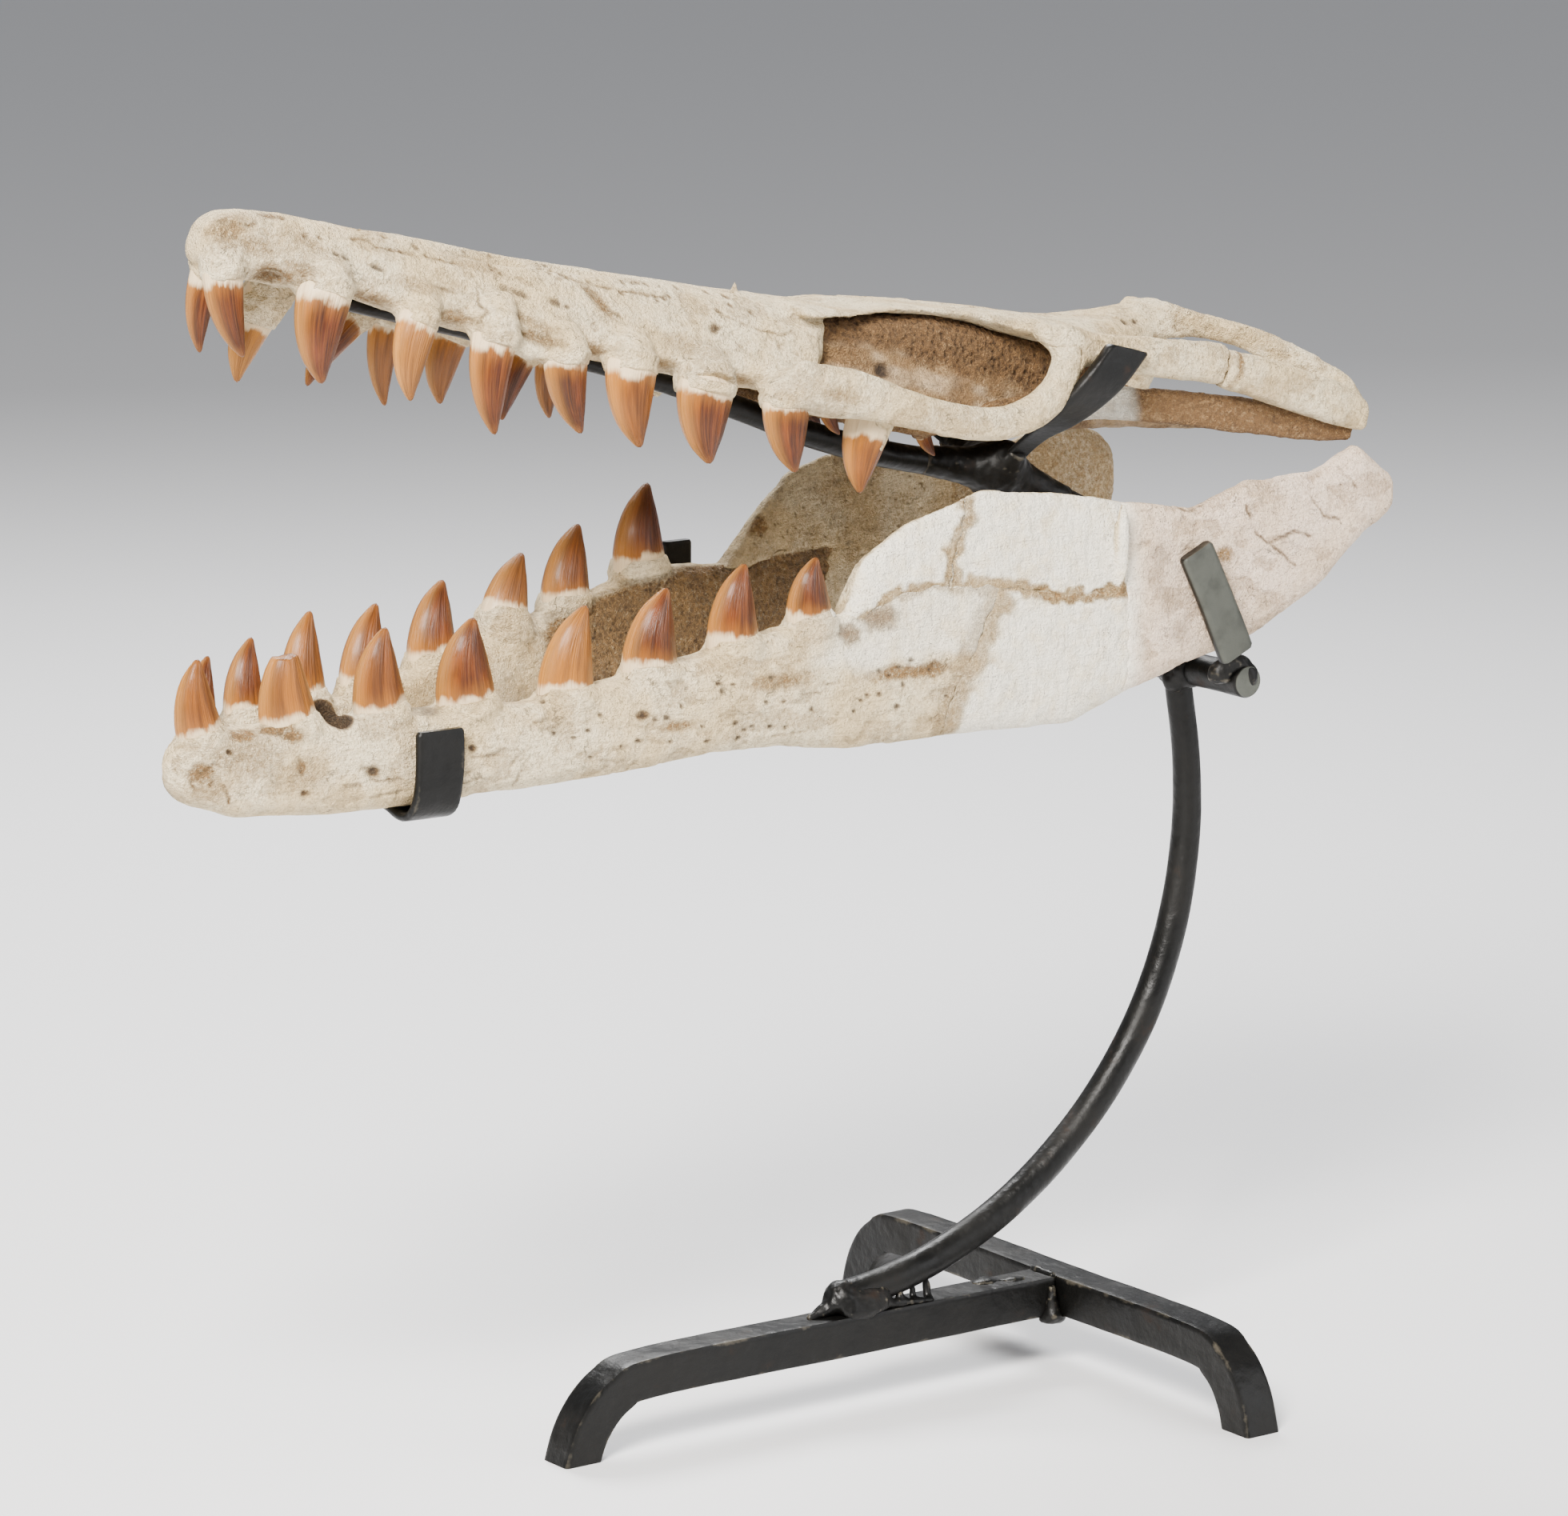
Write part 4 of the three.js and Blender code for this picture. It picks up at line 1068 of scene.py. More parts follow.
# %% Grow the front block
front = Block((-6, -62, -14), (450, 62, 78))
front.add(body(SNOUT, roundness=3.4, tip=4))
front.carve(body(PALATE), blend=4)
front.add(body(ROOF, roundness=3), blend=2.5)
for side in SIDES.values():
    front.add(band(mirrored(JUGAL, side), OUT), blend=6)
    front.add(body(POSTORBITAL, side=side), blend=6)
    front.add(lump((258, side * 43.5, 3.5), (15, 4.5, 6)), blend=6)
    front.carve(lump((277, side * 42, 26.5), (21, 15, 9.5)), blend=2)
    front.carve(lump((282, side * 36, 12), (22, 9, 15)), blend=3)
    front.carve(lump((128, side * 8.2, 31), (42, 2.6, 5.5)), blend=2)
for name, side in SIDES.items():
    add_collars(front, UPPER_TEETH[name])
# Scallops between the sockets, and the notch before the sixth tooth.
for u, v, w, long, tall in ((27, 14, 1, 6, 4), (68, 17.5, -1.5, 10, 5), (103, 22, -2.5, 6, 3.5),
                            (163, 29.5, -2, 2.6, 4), (192, 33, -3.5, 5, 3.5), (227, 37.5, -3.5, 6, 3.5)):
    front.carve(lump((u, -v, w), (long, 7, tall)), blend=2)
front.add(lump((136, -25.5, -1.5), (8, 4, 4)), blend=3)
for u, v, w, long, tall in ((29, 14, 0, 6, 4), (68, 18, -1, 9, 5), (122, 23, -3, 5, 4),
                            (156, 28, -3, 7, 4), (215, 37, -3, 10, 4)):
    front.carve(lump((u, v, w), (long, 7, tall)), blend=2)
front.add(stub((235, -11, 35), (233.4, -11.5, 40.5), 1.8, 0.5), blend=2)
print("front block", front.field.shape)

# %% [markdown]
# The rear of the cranium is its own block. The hump of the parietal grows there with the two
# arches that swing out to the rear corners. The bars below them stay apart from the arches by a
# narrow gap, so they mustn't melt together.

# %% Grow the rear block
rear = Block((388, -76, 30), (530, 76, 80))
rear.add(body(ROOF, roundness=2.6))
for side in SIDES.values():
    rear.add(band(mirrored(ARCH, side), UP), blend=7)
    rear.add(body(REAR_BLOCK, roundness=3.4, side=side, tip=3), blend=2)
print("rear block", rear.field.shape)


# %% [markdown]
# A bone is cut from its block by a few dividing surfaces, each given as a distance that is below
# zero on the bone's own side. Neighbours overlap by a hair, so no light shows between them, and
# a suture that can be seen is drawn on the skin instead.

# %% Part the blocks into bones
def cut_bone(block, low, high, *limits, extra=None):
    """The skin of what lies between two corners and inside every limit."""
    cut, (u, v, w) = block.window(low, high)
    field = block.field[cut]
    for limit in limits:
        field = np.maximum(field, limit(u, v, w) - OVERLAP)
    if extra is not None:
        field = np.minimum(field, extra(u, v, w))
    origin = [axis[part][0] for axis, part in zip(block.axes, cut)]
    return Skin(field, origin, block.step)


def before(end):
    return lambda u, v, w: u - end + wave(v, w)


def after(start):
    return lambda u, v, w: start - u - wave(v, w)


def on_side(side):
    return lambda u, v, w: -side * v + 0.35 * np.sin(0.5 * u) + 0.3 * np.sin(0.23 * u + 1)


def outside(side, reach):
    return lambda u, v, w: reach - side * v + 0.5 * np.sin(0.6 * u)


def below(top, lean=0.0, middle=364.0):
    return lambda u, v, w: w - top - lean * (u - middle) + 0.5 * np.sin(0.7 * v)


def above(low, lean=0.0, middle=364.0):
    return lambda u, v, w: low + lean * (u - middle) - w - 0.5 * np.sin(0.7 * v)


cranium_skins = {}
cranium_skins["premaxilla"] = cut_bone(front, (-6, -62, -14), (72, 62, 40), before(PREMAXILLA_END))
for name, side in SIDES.items():
    near = (side * 1.0 - 1) * 31 - 1
    process = band(mirrored([[240, 33, 6, 4.5, 4.5], [275, 35.5, 4, 4, 4], [304, 37, 5, 3, 3.5]], side), UP)
    last_root = stub(tooth_axis(LAST_TOOTH, -0.1), tooth_axis(LAST_TOOTH, 0.40), 9.2, 7.4, cap=1.5)

    def rear_process(u, v, w, process=process, last_root=last_root, side=side):
        joined = process[2](u, v, w)
        if side < 0:
            joined = melt(joined, last_root[2](u, v, w), 3.0)
        return joined

    cranium_skins[f"maxilla_{name}"] = cut_bone(
        front, (60, near, -14), (312, near + 64, 48),
        after(PREMAXILLA_END), before(ORBIT_FRONT), on_side(side), extra=rear_process)
    cranium_skins[f"jugal_{name}"] = cut_bone(
        front, (254, near, -6), (376, near + 64, 46),
        after(ORBIT_FRONT), outside(side, 40.5), below(43, 0.2),
        lambda u, v, w: u - 371.5 + 0.25 * (w - 42))
    cranium_skins[f"postorbital_{name}"] = cut_bone(
        front, (346, near, 30), (446, near + 64, 66),
        outside(side, 45.3), before(443.0),
        lambda u, v, w: np.minimum(43.0 + 0.2 * (u - 364) - w, 371.5 - 0.25 * (w - 42) - u) + 0.4,
        lambda u, v, w: 350 - u)
    cranium_skins[f"squamosal_{name}"] = cut_bone(
        rear, (400, near * 1.2, 30), (530, near * 1.2 + 76, 80), outside(side, 16.0), after(440))
cranium_skins["frontal"] = cut_bone(
    front, (252, -62, 26), (398, 62, 72), after(ORBIT_FRONT), before(FRONTAL_END),
    lambda u, v, w: np.where(u > 350, np.abs(v) - 45.3 + 0.5 * np.sin(0.6 * u), -5), above(24))
cranium_skins["parietal"] = cut_bone(
    rear, (388, -40, 40), (486, 40, 80), after(FRONTAL_END),
    lambda u, v, w: np.where(u > 440, np.abs(v) - 16.0 + 0.5 * np.sin(0.6 * u), -5))
print({name: len(skin.quads) for name, skin in cranium_skins.items()})

# %% Marks on the left side of the snout, and weather for the whole cranium
LEFT = -1
snout_spots = [  # u, w, half length, half height, depth, stain, shade, slant
    (50.5, 16.9, 1.7, 0.9, 0.9, 0.3, 0.75, -12), (54.8, 16.2, 2.0, 1.0, 0.9, 0.3, 0.75, -12),
    (69.5, 15.0, 3.8, 1.0, 0.8, 0.3, 0.65, -8), (98.5, 13.0, 4.0, 0.9, 0.5, 0.3, 0.35, -5),
    (124.5, 18.3, 2.2, 1.1, 0.6, 0.3, 0.5, 0), (131.5, 17.6, 3.8, 1.3, 0.7, 0.4, 0.55, -6),
    (146.5, 17.2, 2.6, 1.3, 0.6, 0.4, 0.6, 0), (151.5, 16.6, 1.3, 0.9, 0.5, 0.3, 0.5, 0),
    (217.0, 21.0, 2.4, 1.5, 0.7, 0.6, 0.7, 30), (166.0, 21.0, 7.5, 2.2, 0.4, 0.7, 0.25, -38),
    (28.0, 4.0, 11.0, 4.2, 1.3, 0.7, 0.3, 0), (7.0, 16.5, 8.0, 5.5, 0.2, 0.55, 0.12, 40),
    (18.0, 13.0, 8.0, 4.0, 0.2, 0.45, 0.1, 0), (36.0, 9.0, 6.0, 3.0, 0.3, 0.5, 0.2, 0),
    (69.0, 3.5, 9.0, 3.0, 0.4, 0.6, 0.15, 0), (103.0, 3.5, 8.0, 3.0, 0.4, 0.65, 0.18, 0),
    (136.0, 3.0, 8.0, 2.6, 0.4, 0.6, 0.15, 0), (134.0, 8.0, 10.0, 2.4, 0.2, 0.4, 0.05, -10),
    (163.0, 3.0, 4.5, 2.4, 0.4, 0.6, 0.15, 0), (193.0, 3.5, 7.0, 2.4, 0.3, 0.5, 0.1, 0),
    (227.0, 4.0, 8.0, 2.6, 0.3, 0.5, 0.1, 0), (262.0, 6.0, 9.0, 3.0, 0.3, 0.4, 0.1, 0),
    (428.0, 60.5, 1.3, 1.1, 0.9, 0.4, 0.8, 0),
    (434.5, 61.5, 1.1, 1.0, 0.8, 0.4, 0.8, 0),
    (40.0, 18.5, 9.0, 2.0, 0.3, 0.35, 0.05, -10), (86.0, 12.0, 12.0, 3.0, 0.1, 0.3, 0.0, 0),
    (112.0, 24.0, 14.0, 2.0, 0.1, 0.3, 0.0, -4), (205.0, 12.0, 16.0, 4.0, 0.1, 0.25, 0.0, 0)]
snout_cracks = [
    ([(1, 21.5), (5, 24), (11, 25.3)], 1.1, 0.7, 0.8, 0.4),
    ([(17, 25.4), (23, 24.3), (30, 24.6)], 0.9, 0.5, 0.8, 0.4),
    ([(2, 12), (6, 17), (12, 19), (17, 22)], 0.7, 0.5, 0.7, 0.4),
    ([(112, 16), (113, 9), (111, 3)], 0.5, 0.3, 0.4, 0.25),
    ([(160, 25), (166, 21), (174, 17.5)], 0.7, 0.4, 0.6, 0.4),
    ([(220, 26), (236, 24), (250, 25)], 0.5, 0.3, 0.4, 0.2),
    ([(446, 57), (448, 49), (445, 42)], 1.5, 0.3, 0.8, 0.15),
    ([(60, 23.5), (80, 22.6), (104, 23.2)], 0.5, 0.3, 0.5, 0.25),
    ([(150, 26.5), (176, 27), (198, 28.5)], 0.5, 0.3, 0.5, 0.25)]
rng = np.random.default_rng(21)
pits = [(rng.uniform(36, 236), rng.uniform(-7, 2)) for _ in range(40)]
for name, skin in cranium_skins.items():
    if not name.endswith("_right"):
        for u, w, long, tall, depth, stain, shade, slant in snout_spots:
            skin.spot(LEFT, u, w, long, tall, depth, stain, shade, slant)
        for path, width, depth, stain, shade in snout_cracks:
            skin.line(LEFT, path, width, depth, stain, shade)
        for u, drop in pits:
            skin.spot(LEFT, u, 24.5 + u * 0.045 + drop, 1.2, 0.7, 0.5, 0.5, 0.4, -20)
    skin.weather(seed=20)
    bone_piece(name, skin, CRANIUM, FINISHES["pale_bone"], name)

# %% [markdown]
# ## Braincase and palate
# Behind the eye opening stands the wall of the braincase. It is raw brown bone: spongy above,
# smoother below. The two long palate bones end in the brown planks that show below the rear
# bars, and each carries three small teeth.

# %% Braincase and pterygoids
BRAINCASE = [[254, 7, 33, 29], [275, 7, 36, 29], [289, 7, 38.5, 28.5], [299, 7, 40.8, 28],
             [320, 7, 45.5, 26], [352, 7, 46.5, 25], [392, 10, 48, 22], [412, 14, 48, 18],
             [428, 17, 40, 15], [444, 20, 35, 13], [470, 24, 36, 11], [492, 27, 36, 8]]
PTERYGOID = [[264, 13, 2, 3.5, 3], [330, 14, 3, 4, 3.5], [372, 33, 18, 6, 3],
             [402, 42, 26.5, 6.4, 2.6], [430, 47.5, 30.6, 6.8, 2.6], [470, 55, 34, 7, 2.7],
             [500, 60, 36, 6, 2.7], [513, 62.5, 38.2, 5, 2.6]]

core = Block((250, -36, 0), (502, 36, 54))
core.add(body(BRAINCASE, roundness=5, tip=6), blend=2)
for side in SIDES.values():
    core.add(lump((300, side * 24, 14), (46, 8, 8)), blend=6)
    core.carve(lump((270, side * 33, 22), (8, 7, 7)), blend=3)
skin = cut_bone(core, (250, -36, 0), (502, 36, 54))
skin.weather(41, lumps=0.6, fibres=0.15, along=5)
upper = ease(skin.points[:, 2] + 2.5 * noise(skin.points, 9, 43), 24, 30)
skin.sponge(upper, 2.1, 1.0, 44)
skin.stain = np.clip(0.45 + 0.55 * upper + 0.2 * noise(skin.points, 10, 46, 2), 0, 1)
smears = ease(noise(skin.points, (16, 12, 7), 47, 2), -0.3, 0.5) * (1 - upper)
skin.plaster = 0.16 * smears
skin.stain = skin.stain * (1 - 0.75 * smears)
# A small hole, pushed in and darkened with brown stain and painted shade.
skin.spot(LEFT, 297, 19.5, 4.5, 3, 1.8, 1.0, 1.0)
bone_piece("braincase", skin, CRANIUM, FINISHES["brown_bone"], "braincase")

for name, side in SIDES.items():
    near = (side - 1) * 34.0
    palate = Block((260, near, -8), (512, near + 68, 44))
    palate.add(band(mirrored(PTERYGOID, side), UP, roundness=3))
    add_collars(palate, PALATE_TEETH[name], blend=2)
    skin = cut_bone(palate, (260, near, -8), (512, near + 68, 44))
    skin.weather(51 + side, lumps=0.35, fibres=0.22, along=14)
    skin.stain = np.clip(0.75 + 0.3 * noise(skin.points, (18, 5, 5), 53, 2), 0, 1)
    front_share = 1 - ease(skin.points[:, 0] + 0.35 * (skin.points[:, 2] - 24), 410, 418)
    skin.plaster = front_share * ease(skin.points[:, 0], 374, 382)
    bone_piece(f"pterygoid_{name}", skin, CRANIUM, FINISHES["brown_bone"],
               f"pterygoid_{name}")

# %% [markdown]
# ## Lower jaws
# Each half of the lower jaw is one long blade: a tooth-bearing dentary, a tall coronoid, and a
# rear that narrows to the joint. The left one was broken and mended, so its seams are wide bands
# of tan filler between raised fields of white plaster. Those lines are drawn one by one.

# %% Stations and seams of the lower jaws
RAMUS = {
    "left": [
        [-1.5, -6, 4, 4], [4, -12, 11, 8], [25, -19.5, 12.5, 11], [60, -22.5, 12.5, 11.5],
        [100, -23.2, 11.5, 12], [130, -22, 10.5, 12], [150, -21.8, 9.5, 12], [186, -21, 14, 12], [224, -17.5, 20, 11.5],
        [255, -18.5, 26, 11], [283, -22.5, 28, 10, 9], [293, -22.7, 48, 10, 6],
        [313, -22.8, 60, 9.5, 5], [348, -22.8, 70, 9, 4], [388, -24, 65.5, 9, 4],
        [414, -14.7, 60, 8.5, 4.5], [448, -5, 54.8, 8, 5], [475, 1, 63.8, 8, 6],
        [507, 18, 64, 8, 6], [527, 36, 73.5, 8, 6], [539, 43, 63, 6, 5], [545, 47, 59, 4]],
    "right": [
        [14, -9, 4, 5], [19, -15, 7, 9], [32, -19, 8, 11], [60, -20, 8, 11.5], [92, -21, 9, 12],
        [140, -20, 16, 12], [190, -17, 25.5, 12], [237, -14, 33.5, 11.5], [268, -13, 36, 11],
        [296, -14, 33, 10, 9], [315, -15, 51, 9.5, 6], [333, -16, 65, 9, 5], [354, -17, 69, 9, 4],
        [388, -17, 67.5, 9, 4], [420, -10, 66, 8.5, 4.5], [446, -2, 60, 8, 5.5],
        [460, 2, 60.5, 8, 6], [479, 9, 66, 8, 6], [502, 18, 65.8, 8, 6], [517, 25, 61, 7, 6],
        [525.5, 29, 54, 5]],
}
# Seams as (u, w): under the coronoid, up its rear, between the rear bones, and down the dentary.
SEAMS = {
    "left": {
        "foot": [(270, 30), (290, 27), (305, 34), (331, 36)],
        "rise": [(331, 37), (333, 46), (337.5, 56), (342, 70)],
        "level": [(333, 34.5), (348, 34), (363, 32), (372, 29.5), (385, 26.5), (402, 26.8), (412, 26)],
        "drop": [(352, 28), (347, 20), (343, 12), (337, 4), (332, -6), (328, -14), (329, -24)],
        "joint": 413.0},
    "right": {
        "foot": [(288, 34), (300, 31), (320, 35), (345, 34)],
        "rise": [(350, 33), (354, 50), (358, 70)],
        "level": [(345, 33), (370, 34), (400, 31), (424, 32)],
        "drop": [(352, 33), (346, 15), (342, 0), (345, -20)],
        "joint": 424.0},
}


def level_line(path):
    """A seam that runs along the bone: w as a function of u."""
    places, heights = np.array(path, float).T
    return lambda u: np.interp(u, places, heights)


def steep_line(path):
    """A seam that crosses the bone: u as a function of w."""
    places, heights = np.array(sorted(path, key=lambda place: place[1]), float).T
    return lambda w: np.interp(w, heights, places)


# %% Grow a jaw and part it
def ripple(u, v, w):
    return 0.5 * np.sin(0.8 * w + 0.4 * v) + 0.4 * np.sin(0.5 * u - 0.6 * v)


def part_jaw(jaw, seams):
    """The five bones of one half of the lower jaw."""
    foot, level = level_line(seams["foot"]), level_line(seams["level"])
    rise, drop = steep_line(seams["rise"]), steep_line(seams["drop"])
    first, joint = seams["foot"][0][0] + 6, seams["joint"]
    whole = ((-8, -20, -30), (556, 20, 82))

    def in_coronoid(u, v, w):
        return np.maximum.reduce([
            first - u + ripple(u, v, w), foot(u) - w + ripple(u, v, w) + 0 * v,
            u - rise(w) + ripple(u, v, w)])

    def in_surangular(u, v, w):
        return np.maximum.reduce([
            rise(w) - u - ripple(u, v, w), level(u) - w + ripple(u, v, w) + 0 * v,
            u - joint + ripple(u, v, w)])

    def in_angular(u, v, w):
        return np.maximum.reduce([
            drop(w) - u - ripple(u, v, w), w - level(u) - ripple(u, v, w) + 0 * v,
            u - joint + ripple(u, v, w)])

    def in_articular(u, v, w):
        return joint - u - ripple(u, v, w)

    def in_dentary(u, v, w):
        others = [in_coronoid(u, v, w), in_surangular(u, v, w), in_angular(u, v, w),
                  in_articular(u, v, w)]
        return -np.minimum.reduce([other + 0 * w for other in others])

    bones = {"dentary": (in_dentary, (-8, 360)), "coronoid": (in_coronoid, (262, 364)),
             "surangular": (in_surangular, (322, 430)), "angular": (in_angular, (318, 430)),
             "articular": (in_articular, (404, 556))}
    return {name: cut_bone(jaw, (span[0], *whole[0][1:]), (span[1], *whole[1][1:]), limit)
            for name, (limit, span) in bones.items()}


SOCKET_AT, SOCKET_HALF = (66.5, 0.5, 11.5), (6.2, 8, 9)
jaw_skins = {}
for name, side in SIDES.items():
    jaw = Block((-8, -20, -30), (556, 20, 82))
    jaw.add(body(RAMUS[name], tip=4))
    add_collars(jaw, LOWER_TEETH[name])
    # A groove for vessels runs along the inner face, and the joint has a shallow seat.
    jaw.carve(stub((40, -side * 13.5, -11), (255, -side * 13, -6), 3.2, 4.2), blend=3)
    jaw.carve(lump((484, -side * 2, 66), (9, 9, 3)), blend=3)
    if name == "left":
        # An empty socket: the outer wall is gone, and the inner one stands up behind it.
        jaw.add(lump((66, 9, 11), (8, 3.2, 7)), blend=2)
        jaw.carve(lump(SOCKET_AT, SOCKET_HALF), blend=1.5)
        jaw.carve(lump((66.5, -9, 14.8), (5.6, 6, 5)), blend=1.5)
        jaw.add(lump((409, -8, 45), (2.5, 2.5, 16)), blend=4)
    else:
        jaw.carve(lump((236, -12, 22), (24, 4.5, 12)), blend=4)
    jaw_skins[name] = part_jaw(jaw, SEAMS[name])
print({name: [len(skin.quads) for skin in skins.values()] for name, skins in jaw_skins.items()})

# %% [markdown]
# The marks of the left jaw are the ones a visitor sees first: a net of cracks at the tip, dark
# pits along the tooth row, rows of short grooves, and the tan seams of the repair.

# %% Marks on the left jaw
tip_cracks = [
    [(5, -4), (9, -1), (14, 2), (18, 1)], [(9, -1), (8, 5), (11, 9)], [(10, -8), (14, -4), (18, -6)],
    [(14, -4), (14, 2)], [(18, -6), (20, -12)], [(18, 1), (22, 4)], [(5, -4), (8, -9)]]
dentary_spots = [
    # u, w, long, tall, depth, stain, shade
    (9, -1, 5, 4, 0.5, 0.9, 0.25), (20, 6, 1.4, 1.2, 1.0, 0.8, 0.8), (27, 11, 6, 2.6, 0.3, 0.7, 0.1),
    (39, 12, 6, 2.4, 0.3, 0.7, 0.15), (45, 9, 4, 2.2, 0.3, 0.8, 0.3), (48, -2.5, 1.6, 3, 0.5, 0.8, 0.4),
    (49, -12, 1.6, 1.2, 0.7, 0.7, 0.6), (77, -7, 2.8, 1.8, 1.4, 0.8, 0.9),
    (118, -3, 1.6, 1.4, 1.2, 0.6, 0.9), (190, 1.5, 2.4, 1.8, 0.9, 0.8, 0.8),
    (312, 5, 20, 2.6, 0.35, 0.75, 0.1), (322, 6, 6, 2, 0.4, 0.6, 0.4), (297, 27, 9, 5, 0.3, 0.6, 0.3),
    (284, 22, 5, 4, 0.3, 0.6, 0.35), (205, -4, 9, 2, 0.3, 0.5, 0.1), (250, 8, 14, 3, 0.2, 0.45, 0.05),
    (26, 3, 17, 8, 0.2, 0.3, 0.08), (47, -5, 12, 7, 0.15, 0.26, 0.08), (12, -7, 9, 6, 0.2, 0.3, 0.1)]
skin = jaw_skins["left"]["dentary"]
for path in tip_cracks:
    skin.line(LEFT, path, 0.6, 0.5, stain=0.9, shade=0.35)
for u, w, long, tall, depth, stain, shade in dentary_spots:
    skin.spot(LEFT, u, w, long, tall, depth, min(1.0, 1.3 * stain), shade)
for path in ([(36, 1), (36, -6)], [(76, -10), (88, -11)], [(66, -11), (72, -12)],
             [(138, -13), (136, -19)], [(139, -6), (134, -10)]):
    skin.line(LEFT, path, 0.6, 0.5, stain=0.5, shade=0.5)
rng = np.random.default_rng(61)
for _ in range(26):
    start, height, run = rng.uniform(72, 270), rng.uniform(-17, 6), rng.uniform(6, 16)
    skin.line(LEFT, [(start, height), (start + run, height + rng.uniform(-1, 1.4))],
              0.6, rng.uniform(0.15, 0.4), stain=0.25, shade=rng.uniform(0.1, 0.45))
for _ in range(40):
    u, w = rng.uniform(150, 330), rng.uniform(-14, 10)
    skin.spot(LEFT, u, w, rng.uniform(0.7, 1.5), rng.uniform(0.6, 1.1), 0.6, 0.4, 0.75)
# The empty socket is darkened with brown stain and painted shade.
socket = np.linalg.norm((skin.points - SOCKET_AT) / SOCKET_HALF, axis=1)
socket = 1 - ease(socket, 1.05, 1.3)
skin.stain = np.maximum(skin.stain, socket)
skin.shade = np.maximum(skin.shade, 1.0 * socket)
# Painted shade: a dark band on top of the rim between the third and fourth teeth, where the gap behind it lies in
# shadow.
rim_gap_shade = np.exp(-((skin.points[:, 0] - 104) / 4.5) ** 2) * ease(skin.points[:, 2], 9, 10.5)
skin.shade = np.maximum(skin.shade, 0.85 * rim_gap_shade * ease(-skin.points[:, 1], -6, -3))

# The tan seams, the same on every bone that they touch, and the white fields between them.
for bone, skin in jaw_skins["left"].items():
    seams = SEAMS["left"]
    if bone != "articular":
        for part, width, stain, shade in (
                (seams["rise"], 4.0, 0.42, 0.06), (seams["level"][:4], 3.6, 0.40, 0.0),
                (seams["level"][3:], 2.4, 0.65, 0.05), (seams["drop"], 6.8, 0.36, 0.06),
                (seams["foot"][1:], 2.4, 0.42, 0.06)):
            skin.line(LEFT, part, width, 0.4, stain=stain, shade=shade, wander=3.0, gaps=0.2, power=5)
    if bone == "dentary":
        rear = ease(skin.points[:, 0] + 8 * noise(skin.points, 12, 64, 2), 262, 285)
        high = ease(skin.points[:, 2] + 3 * noise(skin.points, 8, 65, 2), 5, 13)
        skin.plaster = np.maximum(skin.plaster, 0.8 * rear * high * (1 - skin.stain).clip(0, 1))
    if bone in ("coronoid", "surangular", "angular"):
        skin.plaster = np.maximum(skin.plaster, (1 - skin.stain * 2.8).clip(0, 1) * skin.facing(LEFT))
skin = jaw_skins["left"]["surangular"]
skin.line(LEFT, [(362, 67), (367, 57), (368, 49)], 0.8, -0.5)
skin.line(LEFT, [(370, 56), (384, 52), (396, 53)], 0.8, -0.4)
skin = jaw_skins["left"]["articular"]
for path in ([(470, 55), (474, 43), (480, 39), (493, 29)], [(436, 58), (445, 54), (452, 56)],
             [(501, 55), (507, 47), (515, 45)], [(480, 39), (492, 42), (500, 40)],
             [(517, 63), (523, 57)]):
    skin.line(LEFT, path, 0.6, 0.5, stain=0.5, shade=0.5)
skin.spot(LEFT, 459, 36, 4, 3, 0.2, 0.8, 0.1)
for u, w in ((429, 38), (427, 30), (433, 20), (438, 8)):
    skin.spot(LEFT, u, w, 5, 6, 0.1, 0.15, 0.30)
skin.plaster = np.maximum(skin.plaster, (1 - ease(skin.points[:, 0], 411, 424)) * skin.facing(LEFT))

# %% [markdown]
# The right jaw shows its inner face. That side was never cleaned as far: it is tan and speckled,
# with open brown bone below the tooth row.

# %% Marks on the right jaw
INNER = -1
for bone, skin in jaw_skins["right"].items():
    face = skin.facing(INNER)
    skin.stain = np.maximum(skin.stain, face * (0.22 + 0.2 * noise(skin.points, 14, 71, 2)))
    if bone == "articular":
        skin.stain = np.maximum(skin.stain, 0.5 * face)
rng = np.random.default_rng(72)
for bone, (start, end) in {"coronoid": (292, 350), "surangular": (356, 420)}.items():
    skin = jaw_skins["right"][bone]
    for _ in range(34):
        u, w = rng.uniform(start, end), rng.uniform(34, 66)
        skin.spot(INNER, u, w, rng.uniform(0.5, 1.0), rng.uniform(0.4, 0.8), 0.4, 0.6, 0.15)
skin = jaw_skins["right"]["coronoid"]
rim = np.interp(skin.points[:, 0], [296, 315, 333, 354], [33, 51, 65, 69]) - skin.points[:, 2]
skin.stain *= 0.35 + 0.65 * ease(rim, 2.0, 4.5)
skin.spot(INNER, 312, 46, 5, 4, 0.0, 0.95, 0.0)
skin = jaw_skins["right"]["dentary"]
raw = ease(skin.points[:, 0] + 5 * noise(skin.points, 9, 73), 186, 196) * skin.facing(INNER)
raw = raw * (1 - ease(skin.points[:, 2] - np.interp(
    skin.points[:, 0], [186, 237, 268, 300], [24, 33, 36, 33]), 0, 2.0))
skin.sponge(raw, 1.9, 0.7, 74)
skin.stain = np.maximum(skin.stain, raw)
skin.shade = np.maximum(skin.shade, raw * (0.36 + 0.18 * noise(skin.points, 8, 75, 2)))
skin.stain *= 1 - 0.8 * ease(skin.points[:, 2] - np.interp(
    skin.points[:, 0], [14, 92, 140, 190, 237, 268], [4, 6, 12, 21, 30, 33]), 0, 3)

